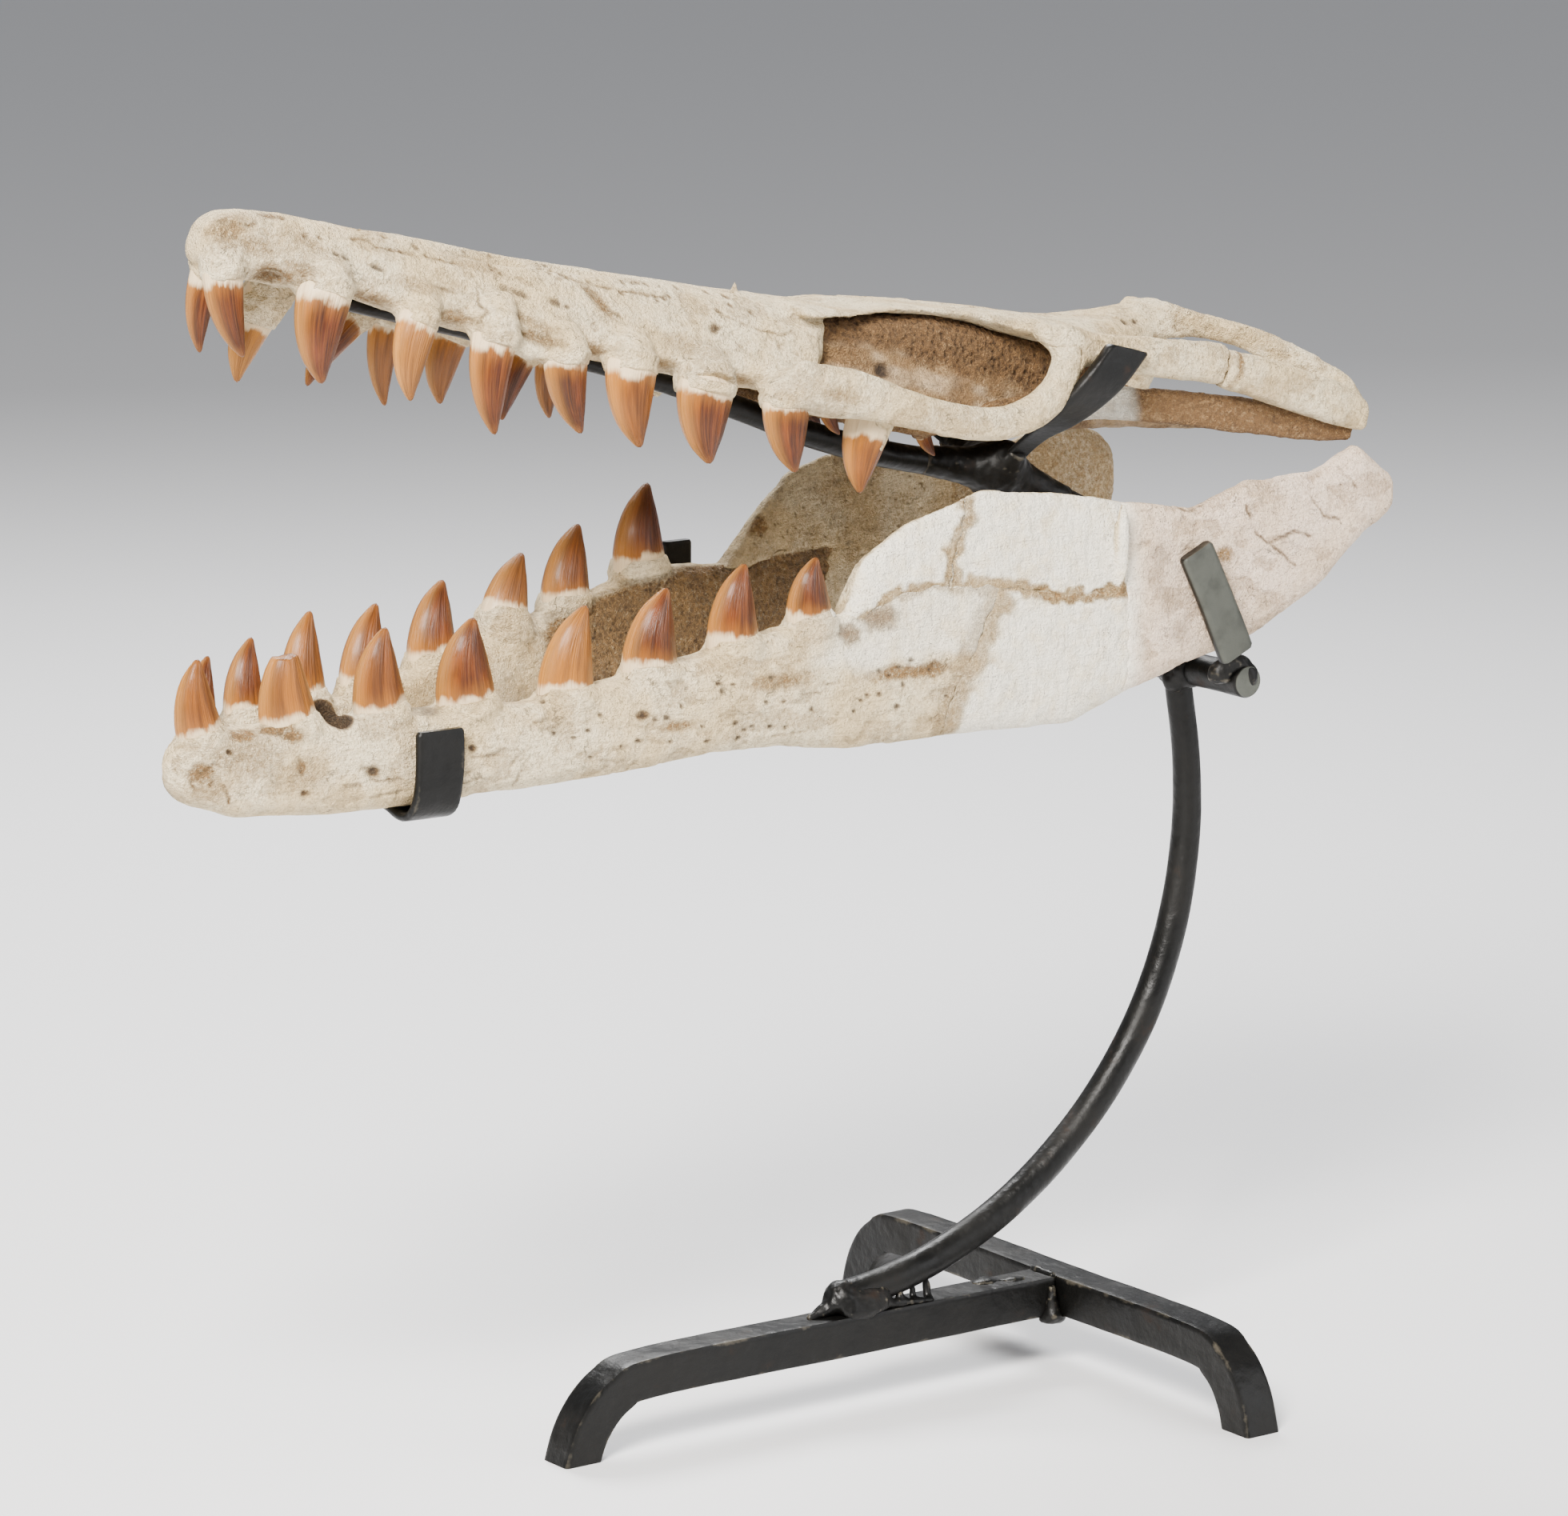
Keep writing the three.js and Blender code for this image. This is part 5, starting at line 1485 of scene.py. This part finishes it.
# %% Weather the jaws and make their pieces
for name, skins in jaw_skins.items():
    for bone, skin in skins.items():
        finish = "pink_bone" if (bone, name) == ("articular", "left") else "pale_bone"
        skin.weather(80 + len(name), lumps=0.32)
        bone_piece(f"{bone}_{name}", skin, JAWS[name], FINISHES[finish], f"{bone}_{name}")

# %% [markdown]
# ## The stand
# Every iron piece but the lumps of weld is a bar along a path, so one Geometry Nodes tree makes
# them all: it lays a round or a square section along the path, then dents the surface a little,
# as a hammer does. Its inputs are the sizes. The helper below builds trees a node at a time.

# %% A helper that builds Geometry Nodes trees
class Tree(Graph):
    """A Geometry Nodes tree under construction, with named inputs."""

    def __init__(self, name, inputs):
        super().__init__(bpy.data.node_groups.new(name, "GeometryNodeTree"))
        self.tree.is_modifier = True
        face = self.tree.interface
        face.new_socket("Geometry", in_out="INPUT", socket_type="NodeSocketGeometry")
        face.new_socket("Geometry", in_out="OUTPUT", socket_type="NodeSocketGeometry")
        self.ids = {}
        for label, (kind, value) in inputs.items():
            socket = face.new_socket(label, in_out="INPUT", socket_type="NodeSocket" + kind)
            if value is not None:
                socket.default_value = value
            self.ids[label] = socket.identifier
        self.source = self.add("NodeGroupInput")

    def read(self, name, kind="FLOAT"):
        return self.add("GeometryNodeInputNamedAttribute", {"Name": name}, data_type=kind)["Attribute"]

    def keep(self, geometry, name, value, kind="FLOAT"):
        return self.add("GeometryNodeStoreNamedAttribute",
                        {"Geometry": geometry, "Name": name, "Value": value}, data_type=kind)[0]

    def finish(self, geometry):
        realized = self.add("GeometryNodeRealizeInstances", {"Geometry": geometry})[0]
        painted = self.add("GeometryNodeSetMaterial",
                           {"Geometry": realized, "Material": self.source["Finish"]})[0]
        self.add("NodeGroupOutput", {"Geometry": painted})


def grown(tree, base, sizes):
    """Runs a tree on a base object and returns the result as a plain mesh object."""
    modifier = base.modifiers.new("maker", "NODES")
    modifier.node_group = tree.tree
    for label, value in sizes.items():
        modifier[tree.ids[label]] = value
    bpy.context.view_layer.update()
    ready = base.evaluated_get(bpy.context.evaluated_depsgraph_get())
    mesh = bpy.data.meshes.new_from_object(ready)
    base.modifiers.remove(modifier)
    name = base.name
    old = base.data
    base.data = mesh
    mesh.name = name
    bpy.data.meshes.remove(old)
    return base


# %% The tree for a forged bar
def forged_bar_tree():
    tree = Tree("forged_bar", {
        "Width": ("Float", 0.015), "Thickness": ("Float", 0.004), "Corner": ("Float", 0.001),
        "Round": ("Bool", False), "Across": ("Vector", (0, 1, 0)), "Dents": ("Float", 0.0003),
        "Dent Size": ("Float", 60.0), "Seed": ("Float", 0.0), "Finish": ("Material", None)})
    source = tree.source
    path = tree.add("GeometryNodeMeshToCurve", {"Mesh": source["Geometry"]})[0]
    path = tree.add("GeometryNodeSetCurveNormal", {"Curve": path, "Normal": source["Across"]},
                    mode="FREE")[0]
    flat = tree.add("GeometryNodeCurvePrimitiveQuadrilateral",
                    {"Width": source["Width"], "Height": source["Thickness"]})[0]
    flat = tree.add("GeometryNodeFilletCurve",
                    {"Curve": flat, "Radius": source["Corner"], "Limit Radius": True, "Count": 3},
                    mode="POLY")[0]
    flat = tree.add("GeometryNodeResampleCurve", {"Curve": flat, "Length": 0.0012}, mode="LENGTH")[0]
    half = tree.math("MULTIPLY", source["Width"], 0.5)
    circle = tree.add("GeometryNodeCurvePrimitiveCircle", {"Resolution": 36, "Radius": half},
                      mode="RADIUS")[0]
    section = tree.add("GeometryNodeSwitch", {"Switch": source["Round"], "False": flat, "True": circle},
                       input_type="GEOMETRY")[0]
    # How close each point of the section is to a corner, for the worn edges.
    place = tree.add("GeometryNodeInputPosition")[0]
    axes = tree.add("ShaderNodeSeparateXYZ", {0: place})
    toward_side = tree.math("DIVIDE", tree.math("ABSOLUTE", axes[0]), half)
    toward_face = tree.math("DIVIDE", tree.math("ABSOLUTE", axes[1]),
                            tree.math("MULTIPLY", source["Thickness"], 0.5))
    edge = tree.math("MULTIPLY", toward_side, toward_face)
    flatness = tree.math("SUBTRACT", 1.0, source["Round"])
    section = tree.keep(section, "edge", tree.math("MULTIPLY", tree.math("POWER", edge, 5.0), flatness))
    bar = tree.add("GeometryNodeCurveToMesh",
                   {"Curve": path, "Profile Curve": section, "Scale": tree.read("swell"),
                    "Fill Caps": True})[0]
    shifted = tree.vector("ADD", place, tree.add("ShaderNodeCombineXYZ", {0: source["Seed"]})[0])
    wobble = tree.add("ShaderNodeTexNoise", {
        "Vector": shifted, "Scale": source["Dent Size"], "Detail": 2.0, "Roughness": 0.45})[0]
    depth = tree.math("MULTIPLY", tree.math("SUBTRACT", wobble, 0.55), source["Dents"])
    normal = tree.add("GeometryNodeInputNormal")[0]
    bar = tree.add("GeometryNodeSetPosition", {"Geometry": bar, "Offset": tree.scaled(normal, depth)})[0]
    bar = tree.add("GeometryNodeSetShadeSmooth", {"Geometry": bar, "Shade Smooth": True})[0]
    tree.finish(bar)
    return tree


BAR_TREE = forged_bar_tree()
print("forged bar tree with inputs", list(BAR_TREE.ids))

# %% [markdown]
# A bar's path is a short table of stops. They are joined by a smooth curve, cut to even steps,
# and carry a swell: the share of the full section at each step. The ends shrink a little over
# their last millimetre, which leaves the small bevel that a file or a hammer does.

# %% Bars along paths
def even_steps(path, spacing):
    """The same path with points at even distances."""
    lengths = np.linalg.norm(np.diff(path[:, :3], axis=0), axis=1)
    run = np.concatenate([[0], np.cumsum(lengths)])
    count = max(int(run[-1] / spacing), 2)
    even = np.linspace(0, run[-1], count + 1)
    # Two more points close to each end carry the bevel.
    even = np.sort(np.concatenate([even, [0.5, 1.1, run[-1] - 1.1, run[-1] - 0.5]]))
    return np.stack([np.interp(even, run, path[:, k]) for k in range(path.shape[1])], 1), even


def bar(name, stops, across, width, thickness=None, corner=1.2, bevel=0.09, dents=0.35,
        dent_size=55.0, bone_frame=STAND, pieces=8, cut_floor=False, rubbed_face=None,
        rubbed_ends=0.0):
    """A forged bar. A stop is [x, y, z] or, where the bar tapers, [x, y, z, swell]."""
    rows = [list(stop) + [1.0] * (4 - len(stop)) for stop in stops]
    path, run = even_steps(smooth_path(rows, pieces), 1.8)
    from_end = np.minimum(run, run[-1] - run)
    swell = path[:, 3] * (1 - bevel * (1 - ease(from_end, 0.0, 1.2)))
    places = bone_frame.row(path[:, :3])
    mesh = bpy.data.meshes.new(name)
    mesh.from_pydata(places.tolist(), [(i, i + 1) for i in range(len(places) - 1)], [])
    keep_values(mesh, "swell", swell)
    piece = bpy.data.objects.new(name, mesh)
    bpy.context.scene.collection.objects.link(piece)
    grown(BAR_TREE, piece, {
        "Width": width * MM, "Thickness": (thickness or width) * MM, "Corner": corner * MM,
        "Round": thickness is None, "Across": Vector(bone_frame.turned(across)),
        "Dents": dents * MM, "Dent Size": dent_size, "Seed": float(len(name) * 1.7),
        "Finish": FINISHES["forged_iron"]})
    if cut_floor:
        shape = bmesh.new()
        shape.from_mesh(piece.data)
        cut = bmesh.ops.bisect_plane(
            shape, geom=[*shape.verts, *shape.edges, *shape.faces], plane_co=(0, 0, 0.0),
            plane_no=(0, 0, 1), clear_inner=True)
        rim = [e for e in cut["geom_cut"] if isinstance(e, bmesh.types.BMEdge)]
        bmesh.ops.holes_fill(shape, edges=rim)
        shape.to_mesh(piece.data)
        shape.free()
    places = np.array([vert.co for vert in piece.data.vertices])
    axis = bone_frame.row(path[:, :3])
    nearest = np.linalg.norm(places[:, None] - axis[None], axis=2).argmin(1)
    rubbed = np.where((nearest == 0) | (nearest == len(axis) - 1), rubbed_ends, 0.0)
    if rubbed_face is not None:
        outward = ((places - axis[nearest]) @ np.array(rubbed_face)) / MM
        rubbed = np.maximum(rubbed, 0.8 * (outward > 0.3 * thickness))
    keep_values(piece.data, "rubbed", rubbed)
    piece.data.set_sharp_from_angle(angle=math.radians(50))
    return piece


def iron(piece, *nodes):
    """Hands a finished piece of iron to the frame."""
    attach(piece, "root")
    if nodes:
        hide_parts(*nodes)
    print(piece.name, len(piece.data.polygons), "faces")
    return piece


# %% The base
BAR = 16.0
AXIS_HEIGHT = 29.0
NEAR_FOOT, FAR_FOOT = -121.0, 132.0
iron(bar("stand_stem", [
    [-8.3, 0, AXIS_HEIGHT], [-100, 0, AXIS_HEIGHT], [-196, 0, AXIS_HEIGHT], [-216, 0, 25],
    [-229, 0, 12], [-236, 0, -8]], OUT, BAR, BAR, dents=0.5, cut_floor=True), "stand_stem")
iron(bar("stand_crossbar", [
    [0, NEAR_FOOT, -8], [0, NEAR_FOOT + 6, 12], [0, NEAR_FOOT + 17, 24.5],
    [0, NEAR_FOOT + 35, AXIS_HEIGHT], [0, 0, AXIS_HEIGHT], [0, FAR_FOOT - 35, AXIS_HEIGHT],
    [0, FAR_FOOT - 17, 24.5], [0, FAR_FOOT - 6, 12], [0, FAR_FOOT, -8]],
    ALONG, BAR, BAR, dents=0.5, cut_floor=True), "stand_crossbar")

# %% The upright and the rods
HEAD_AT = (CRANIUM.row([383, -8, -7]) / MM - JOINT)
ROD = 12.7
iron(bar("stand_upright", [
    [-108, 0, 43], [-86, 0, 46], [-60, 0, 53], [-30, 0, 66.5], [-3, 0, 85], [22, 0, 109.5],
    [42, 0, 139], [55, 0, 172, 0.97], [61, 0, 206, 0.93], [61, 0, 236, 0.88],
    [57, 0, 264, 0.86], [52.5, 1, 295, 0.86], [45, 2.5, 313, 0.86], [33, 4.5, 327, 0.86],
    [20, 6.5, 336, 0.86], [8, 9, 343, 0.86], [-8, 12, 351, 0.88], list(HEAD_AT)], OUT, ROD, dents=0.3), "stand_upright")


def over_head(point):
    """A place given in the cranium's frame, in the stand's."""
    return list(CRANIUM.row(point[:3]) / MM - JOINT) + list(point[3:])


PALATE_ROD = [
    [384, -7, -5, 1.0], [358, 0, -9, 1.0], [325, 0, -10.3, 0.96], [290, 0, -8.8, 0.93],
    [255, 0, -5.2, 0.85], [215, 0, -1.8, 0.74], [130, 0, 0.8, 0.65], [62, 0, 1.2, 0.59]]
iron(bar("stand_palate_rod", [over_head(stop) for stop in PALATE_ROD], OUT, 10.8, dents=0.3),
     "stand_palate_rod")
REAR_BAR_X, REAR_BAR_Z = 58.5, 274.5
for name, (start, end) in {"left": (-3.0, -41), "right": (3.0, 119)}.items():
    iron(bar(f"stand_rear_bar_{name}", [
        [REAR_BAR_X, start, REAR_BAR_Z], [REAR_BAR_X, (start + end) / 2, REAR_BAR_Z + 0.2],
        [REAR_BAR_X, end, REAR_BAR_Z]], ALONG, 13.2, dents=0.4, rubbed_ends=1.0), f"stand_rear_bar_{name}")
iron(bar("stand_jaw_rod", [
    [61.5, 15, 285.8], [20, 14, 281], [-60, 14, 279], [-180, 14, 276], [-280, 11, 268.9],
    [-327, 10, 268.1]], OUT, 8.4, dents=0.3), "stand_jaw_rod")

# %% The straps and clips
CHEEK = [[383, 5, -7, 0.6], [380.5, 22, 1.5, 0.52], [376.8, 35, 9, 0.56], [376, 46, 15.5, 0.76],
         [378, 54.5, 24, 0.98], [383, 59.3, 35, 1.1], [390.5, 59.8, 48, 1.12]]
for name, side in SIDES.items():
    stops = [[u, v * side - (7 if index == 0 else 0), w, swell]
             for index, (u, v, w, swell) in enumerate(CHEEK)]
    iron(bar(f"stand_cheek_strap_{name}", [over_head(stop) for stop in stops],
             CRANIUM.turned(ALONG), 18, 4.6, corner=1.6, dents=0.5), f"stand_cheek_strap_{name}")
iron(bar("stand_front_strap", [
    [-310, -32, 296], [-310.5, -32.4, 281], [-311.5, -31, 269.5], [-312, -26.5, 264.4],
    [-312.5, -20.5, 264.2], [-313.5, -13.5, 267], [-316, -4, 268.4], [-320, 12, 268.8],
    [-320, 33, 268], [-317, 45, 271], [-313, 47.5, 281],
    [-312, 47.5, 292]],
    ALONG, 20, 3.4, corner=1.2, dents=0.6), "stand_front_strap")
iron(bar("stand_mid_strap", [
    [-128, y, z] for y, z in ((18.5, 272.5), (50, 272.5), (74, 273), (81.5, 281), (82.3, 300),
                              (82.3, 332))], ALONG, 13, 4, corner=1.4), "stand_mid_strap")
CLIPS = {"left": ([441.5, -10.8, 40], [462, -10.8, -3]),
         "right": ([448, 10.8, 45], [470, 10.8, -4])}
for name, (top, foot) in CLIPS.items():
    side = SIDES[name]
    ends = [JAWS[name].row(point) / MM - JOINT for point in (top, foot)]
    slope = ends[1] - ends[0]
    across = np.cross(slope / np.linalg.norm(slope), JAWS[name].turned(side * OUT))
    middle = (ends[0] + ends[1]) / 2 + JAWS[name].turned(side * OUT) * 0.6
    iron(bar(f"stand_clip_{name}", [list(ends[0]), list(middle), list(ends[1])], across, 15.5, 5,
             corner=1.8, dents=0.6, rubbed_face=JAWS[name].turned(side * OUT)),
         f"stand_clip_{name}")

# %% [markdown]
# Welds are frozen puddles, so they grow in a block as the bones do. Each is a handful of lumps and
# pegs that melt together round a joint: the head where the rods and straps meet, the foot of the
# upright with its run-out drips, the joint of the base, and the ends of the rear bar.

# %% Welds
def weld(name, shapes, blend, lumps, *nodes):
    """A lump of weld from shapes in the stand's frame."""
    low = np.min([shape[0] for shape in shapes], axis=0) - 4
    high = np.max([shape[1] for shape in shapes], axis=0) + 4
    puddle = Block(low, high, STEP * 0.8)
    for shape in shapes:
        puddle.add(shape, blend)
    skin = Skin(puddle.field, low, puddle.step)
    skin.push(lumps * (noise(skin.points, 3.2, 91, 2) + 0.6 * noise(skin.points, 8, 92)))
    piece = mesh_of(name, STAND.row(skin.points), skin.quads)
    # Painted shade in the weld's hollows, over an even darkening of the whole weld.
    keep_values(piece.data, "shade", np.clip(0.5 * hollows(skin) + 0.2, 0, 1))
    keep_values(piece.data, "edge", np.clip(-hollows(skin), 0, 1))
    piece.data.materials.append(FINISHES["forged_iron"])
    return iron(piece, *nodes)


rod_end, upright_end = over_head([352, 0.5, -9.4]), [6, 9.6, 344.5]
webs = [stub(HEAD_AT, rod_end, 8.5, 5.6), stub(HEAD_AT, upright_end, 8.5, 5.6)]
for side in SIDES.values():
    webs.append(stub(HEAD_AT, over_head([380, side * 22, 1.5]), 8.0, 3.4))
weld("stand_head", [lump(HEAD_AT, (10, 10, 8.5)), *webs], 7, 0.35, "stand_head")
weld("weld_foot", [
    lump((-107, 0, 43), (8, 7, 7)), stub((-110, 0, 41), (-124, 0, 37), 4.5, 1.2),
    lump((-98, -4.6, 41), (11, 5, 6)), lump((-104, -6.4, 37.5), (6, 2.2, 3)),
    lump((-95, 5, 40), (11, 5, 6)),
    stub((-83, -3, 44), (-82, -4, 37), 1.3, 1.6), stub((-76, -2, 47), (-75.5, -3, 37), 1.0, 1.4),
    stub((-69, -1, 49), (-68.5, -3, 37), 0.8, 1.5), stub((-88, -5, 38), (-68, -6, 37), 1.9, 1.2)],
    2.5, 0.45)
weld("weld_base", [
    stub((-11, -8.3, 34), (-11, -9, 22), 1.6, 3.2), lump((-10, -7.5, 20.5), (6, 4.5, 2.8)),
    stub((-9, -7, 37), (-9, 7, 37), 1.7, 1.9), stub((-9.5, 8.5, 35), (-9.5, 9, 21), 2.2, 3.6),
    lump((-36, 3, 36.8), (6, 4, 1.5)), lump((-24, -2, 36.8), (4, 3, 1.3))], 2.5, 0.4)
for name, y in (("left", -34.5), ("right", 111.0)):
    weld(f"weld_clip_{name}", [
        lump((56, y, 281.5), (6.5, 5.5, 3.5)), lump((52.5, y - 2, 283), (4, 4, 3.5)),
        lump((60.5, y - 3, 276.5), (3.5, 4.5, 5.5)), lump((50, y + 1, 277.5), (4.5, 5, 4))],
        2.5, 0.55)
weld("weld_cross", [
    stub((57.5, -9, 274.5), (57.5, 9.5, 274.5), 7.6, 7.2, cap=3), lump((60, 5, 279), (5, 5, 4)),
    lump((52.5, -2, 270), (4, 5, 5))], 3, 0.45)
weld("weld_front", [
    lump((-325, 10, 268), (6, 7, 3.5)), lump((-318, 8, 268.5), (5, 5, 3))], 3, 0.4)

# %% [markdown]
# ## Teeth
# Forty teeth share one rule, so a Geometry Nodes tree makes them. Each tooth is a point that
# carries its own root, bow, tip and girth. The tree puts a flat grid on every point and rolls it
# into a horn: one side of the grid runs from root to tip, the other goes round. A keel runs down
# the front and the back of a crown, and fine flutes run between them.

# %% The tree for a row of teeth
ROOT_SHARE = 0.22
TOOTH_ROWS, TOOTH_SIDES = ((58, 45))
PROFILE = [(0.0, 0.0), (0.02, 0.3), (0.08, 0.55), (0.14, 0.85), (0.18, 0.98), (0.30, 0.97), (0.467, 0.885),
           (0.631, 0.74), (0.77, 0.56), (0.87, 0.37), (0.935, 0.235), (0.972, 0.15), (0.992, 0.08),
           (1.0, 0.0)]


def tooth_tree():
    tree = Tree("tooth_row", {
        "Rows": ("Int", TOOTH_ROWS), "Sides": ("Int", TOOTH_SIDES), "Breadth": ("Float", 0.86),
        "Keel": ("Float", 0.075), "Flutes": ("Float", 0.022), "Finish": ("Material", None)})
    source = tree.source
    grid = tree.add("GeometryNodeMeshGrid", {
        "Size X": 1.0, "Size Y": 1.0, "Vertices X": source["Rows"],
        "Vertices Y": source["Sides"]})[0]
    grids = tree.add("GeometryNodeInstanceOnPoints",
                     {"Points": source["Geometry"], "Instance": grid})[0]
    horns = tree.add("GeometryNodeRealizeInstances", {"Geometry": grids})[0]
    base, bow, tip, out = [tree.read(name, "FLOAT_VECTOR") for name in ("base", "bow", "tip", "out")]
    local = tree.vector("SUBTRACT", tree.add("GeometryNodeInputPosition")[0], base)
    axes = tree.add("ShaderNodeSeparateXYZ", {0: local})
    share = tree.math("ADD", axes[0], 0.5)
    angle = tree.math("MULTIPLY", tree.math("ADD", axes[1], 0.5), 2 * math.pi)
    along = tree.math("SUBTRACT", tree.math("MULTIPLY", share, 1 + ROOT_SHARE), ROOT_SHARE)
    rest = tree.math("SUBTRACT", 1.0, along)
    # The middle line, and its direction.
    middle = tree.vector(
        "ADD", tree.scaled(base, tree.math("MULTIPLY", rest, rest)),
        tree.vector("ADD", tree.scaled(bow, tree.math("MULTIPLY", tree.math("MULTIPLY", along, rest), 2.0)),
                    tree.scaled(tip, tree.math("MULTIPLY", along, along))))
    run = tree.vector("ADD", tree.scaled(tree.vector("SUBTRACT", bow, base), rest),
                      tree.scaled(tree.vector("SUBTRACT", tip, bow), along))
    run = tree.vector("NORMALIZE", run)
    fore = tree.vector("NORMALIZE", tree.vector("CROSS_PRODUCT", out, run))
    side = tree.vector("CROSS_PRODUCT", run, fore)
    # The radius: the profile, then the keels and the flutes.
    curve = tree.add("ShaderNodeFloatCurve", {"Value": share})
    mapping = curve[0].node.mapping
    points = mapping.curves[0].points
    points[0].location, points[1].location = PROFILE[0], PROFILE[-1]
    for place in PROFILE[1:-1]:
        points.new(*place)
    mapping.update()
    radius = tree.math("MULTIPLY", curve[0], tree.math("MULTIPLY", tree.read("girth"), 0.5))
    cosine, sine = tree.math("COSINE", angle), tree.math("SINE", angle)
    keel = tree.math("MULTIPLY", tree.math("POWER", tree.math("ABSOLUTE", cosine), 14.0), source["Keel"])
    round_place = tree.add("ShaderNodeCombineXYZ", {0: cosine, 1: sine, 2: along})[0]
    shifted = tree.vector("ADD", round_place, base)
    streak_place = tree.vector("MULTIPLY", tree.vector(
        "ADD", round_place, tree.scaled(base, 90.0)), (4.5, 4.5, 1.1))
    streaks = tree.add("ShaderNodeTexNoise", {"Vector": streak_place, "Scale": 1.0, "Detail": 2.0})[0]
    flutes = tree.math("MULTIPLY", tree.math("SUBTRACT", streaks, 0.5),
                       tree.math("MULTIPLY", source["Flutes"], 3.0))
    swell = tree.math("ADD", 1.0, tree.math("ADD", keel, flutes))
    radius = tree.math("MULTIPLY", radius, swell)
    offset = tree.vector(
        "ADD", tree.scaled(fore, tree.math("MULTIPLY", radius, cosine)),
        tree.scaled(side, tree.math("MULTIPLY", tree.math("MULTIPLY", radius, sine), source["Breadth"])))
    horns = tree.keep(horns, "along", along)
    horns = tree.keep(horns, "round_place", round_place, "FLOAT_VECTOR")
    horns = tree.add("GeometryNodeSetPosition", {
        "Geometry": horns, "Position": tree.vector("ADD", middle, offset)})[0]
    horns = tree.add("GeometryNodeMergeByDistance", {"Geometry": horns, "Distance": 0.00001})[0]
    horns = tree.add("GeometryNodeSetShadeSmooth", {"Geometry": horns, "Shade Smooth": True})[0]
    tree.finish(horns)
    return tree


TOOTH_TREE = tooth_tree()
print("tooth tree with inputs", list(TOOTH_TREE.ids))


# %% Rows of teeth
def tooth_row(name, rows, bone_frame, tints, worn_tips=()):
    """One piece for a row of teeth. A tint is (darkness, warmth), each from 0 to 1. A worn tip is
    (number in the row, height): the tooth is broken off flat there."""
    mesh = bpy.data.meshes.new(name)
    table = np.array(rows, float)
    bases = bone_frame.row(table[:, :3])
    mesh.from_pydata(bases.tolist(), [], [])
    ups = table[:, 3:6] - table[:, :3]
    bows = table[:, :3] + ups * BOW_AT
    bows[:, 0] -= BOW_FORWARD * np.linalg.norm(ups, axis=1)
    keep_values(mesh, "base", bases, "FLOAT_VECTOR")
    keep_values(mesh, "bow", bone_frame.row(bows), "FLOAT_VECTOR")
    keep_values(mesh, "tip", bone_frame.row(table[:, 3:6]), "FLOAT_VECTOR")
    keep_values(mesh, "out", np.tile(bone_frame.turned(OUT), (len(rows), 1)), "FLOAT_VECTOR")
    keep_values(mesh, "girth", table[:, 6] * MM)
    keep_values(mesh, "neck", table[:, 7])
    keep_values(mesh, "tint", [tint[0] for tint in tints])
    keep_values(mesh, "warm", [tint[1] for tint in tints])
    piece = bpy.data.objects.new(name, mesh)
    bpy.context.scene.collection.objects.link(piece)
    grown(TOOTH_TREE, piece, {"Finish": FINISHES["tooth_enamel"]})
    shape = bmesh.new()
    shape.from_mesh(piece.data)
    for number, height in worn_tips:
        level = bone_frame.row([[0, 0, height]])[0][2]
        middle = bases[number] + (bone_frame.row(table[number, 3:6]) - bases[number]) * 0.7
        for vert in shape.verts:
            near = math.hypot(vert.co.x - middle[0], vert.co.y - middle[1]) < 0.011
            if near and vert.co.z > level:
                bumps = 0.00025 * math.sin(vert.co.x * 900) + vert.co.x * 0.06 - middle[0] * 0.06
                vert.co.z = level + (vert.co.z - level) * 0.12 + bumps
    bmesh.ops.recalc_face_normals(shape, faces=shape.faces)
    shape.to_mesh(piece.data)
    shape.free()
    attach(piece, "root")
    print(name, len(rows), "teeth,", len(piece.data.polygons), "faces")
    return piece


tooth_row("teeth_upper_left", [*UPPER_TEETH["left"], LAST_TOOTH], CRANIUM, [
    (0.7, 0.4), (0.8, 0.0), (0.15, 0.6), (0.7, 0.6), (0.95, 0.2), (0.45, 1.0), (0.7, 0.4),
    (0.9, 0.35), (0.45, 1.0)])
tooth_row("teeth_upper_right", UPPER_TEETH["right"], CRANIUM, [
    (0.65, 0.3), (0.05, 0.9), (0.6, 0.2), (0.35, 0.6), (0.35, 0.7), (0.7, 0.1), (0.4, 0.5),
    (0.6, 0.5)])
tooth_row("teeth_lower_left", LOWER_TEETH["left"], JAWS["left"], [
    (0.45, 0.9), (0.35, 0.8), (0.5, 0.5), (0.88, 0.5), (0.25, 0.9), (0.95, 0.3), (0.75, 0.4),
    (0.75, 0.2)], worn_tips=[(1, 36.3)])
tooth_row("teeth_lower_right", LOWER_TEETH["right"], JAWS["right"], [
    (0.6, 0.3), (0.6, 0.5), (0.4, 0.9), (0.5, 0.8), (0.6, 0.4), (0.35, 0.2), (0.5, 0.5),
    (0.65, 0.4)])
tooth_row("teeth_palate", PALATE_TEETH["left"] + PALATE_TEETH["right"], CRANIUM, [(0.65, 0.5)] * 6)

# %% [markdown]
# ## Finish

# %% The end
bpy.context.view_layer.update()
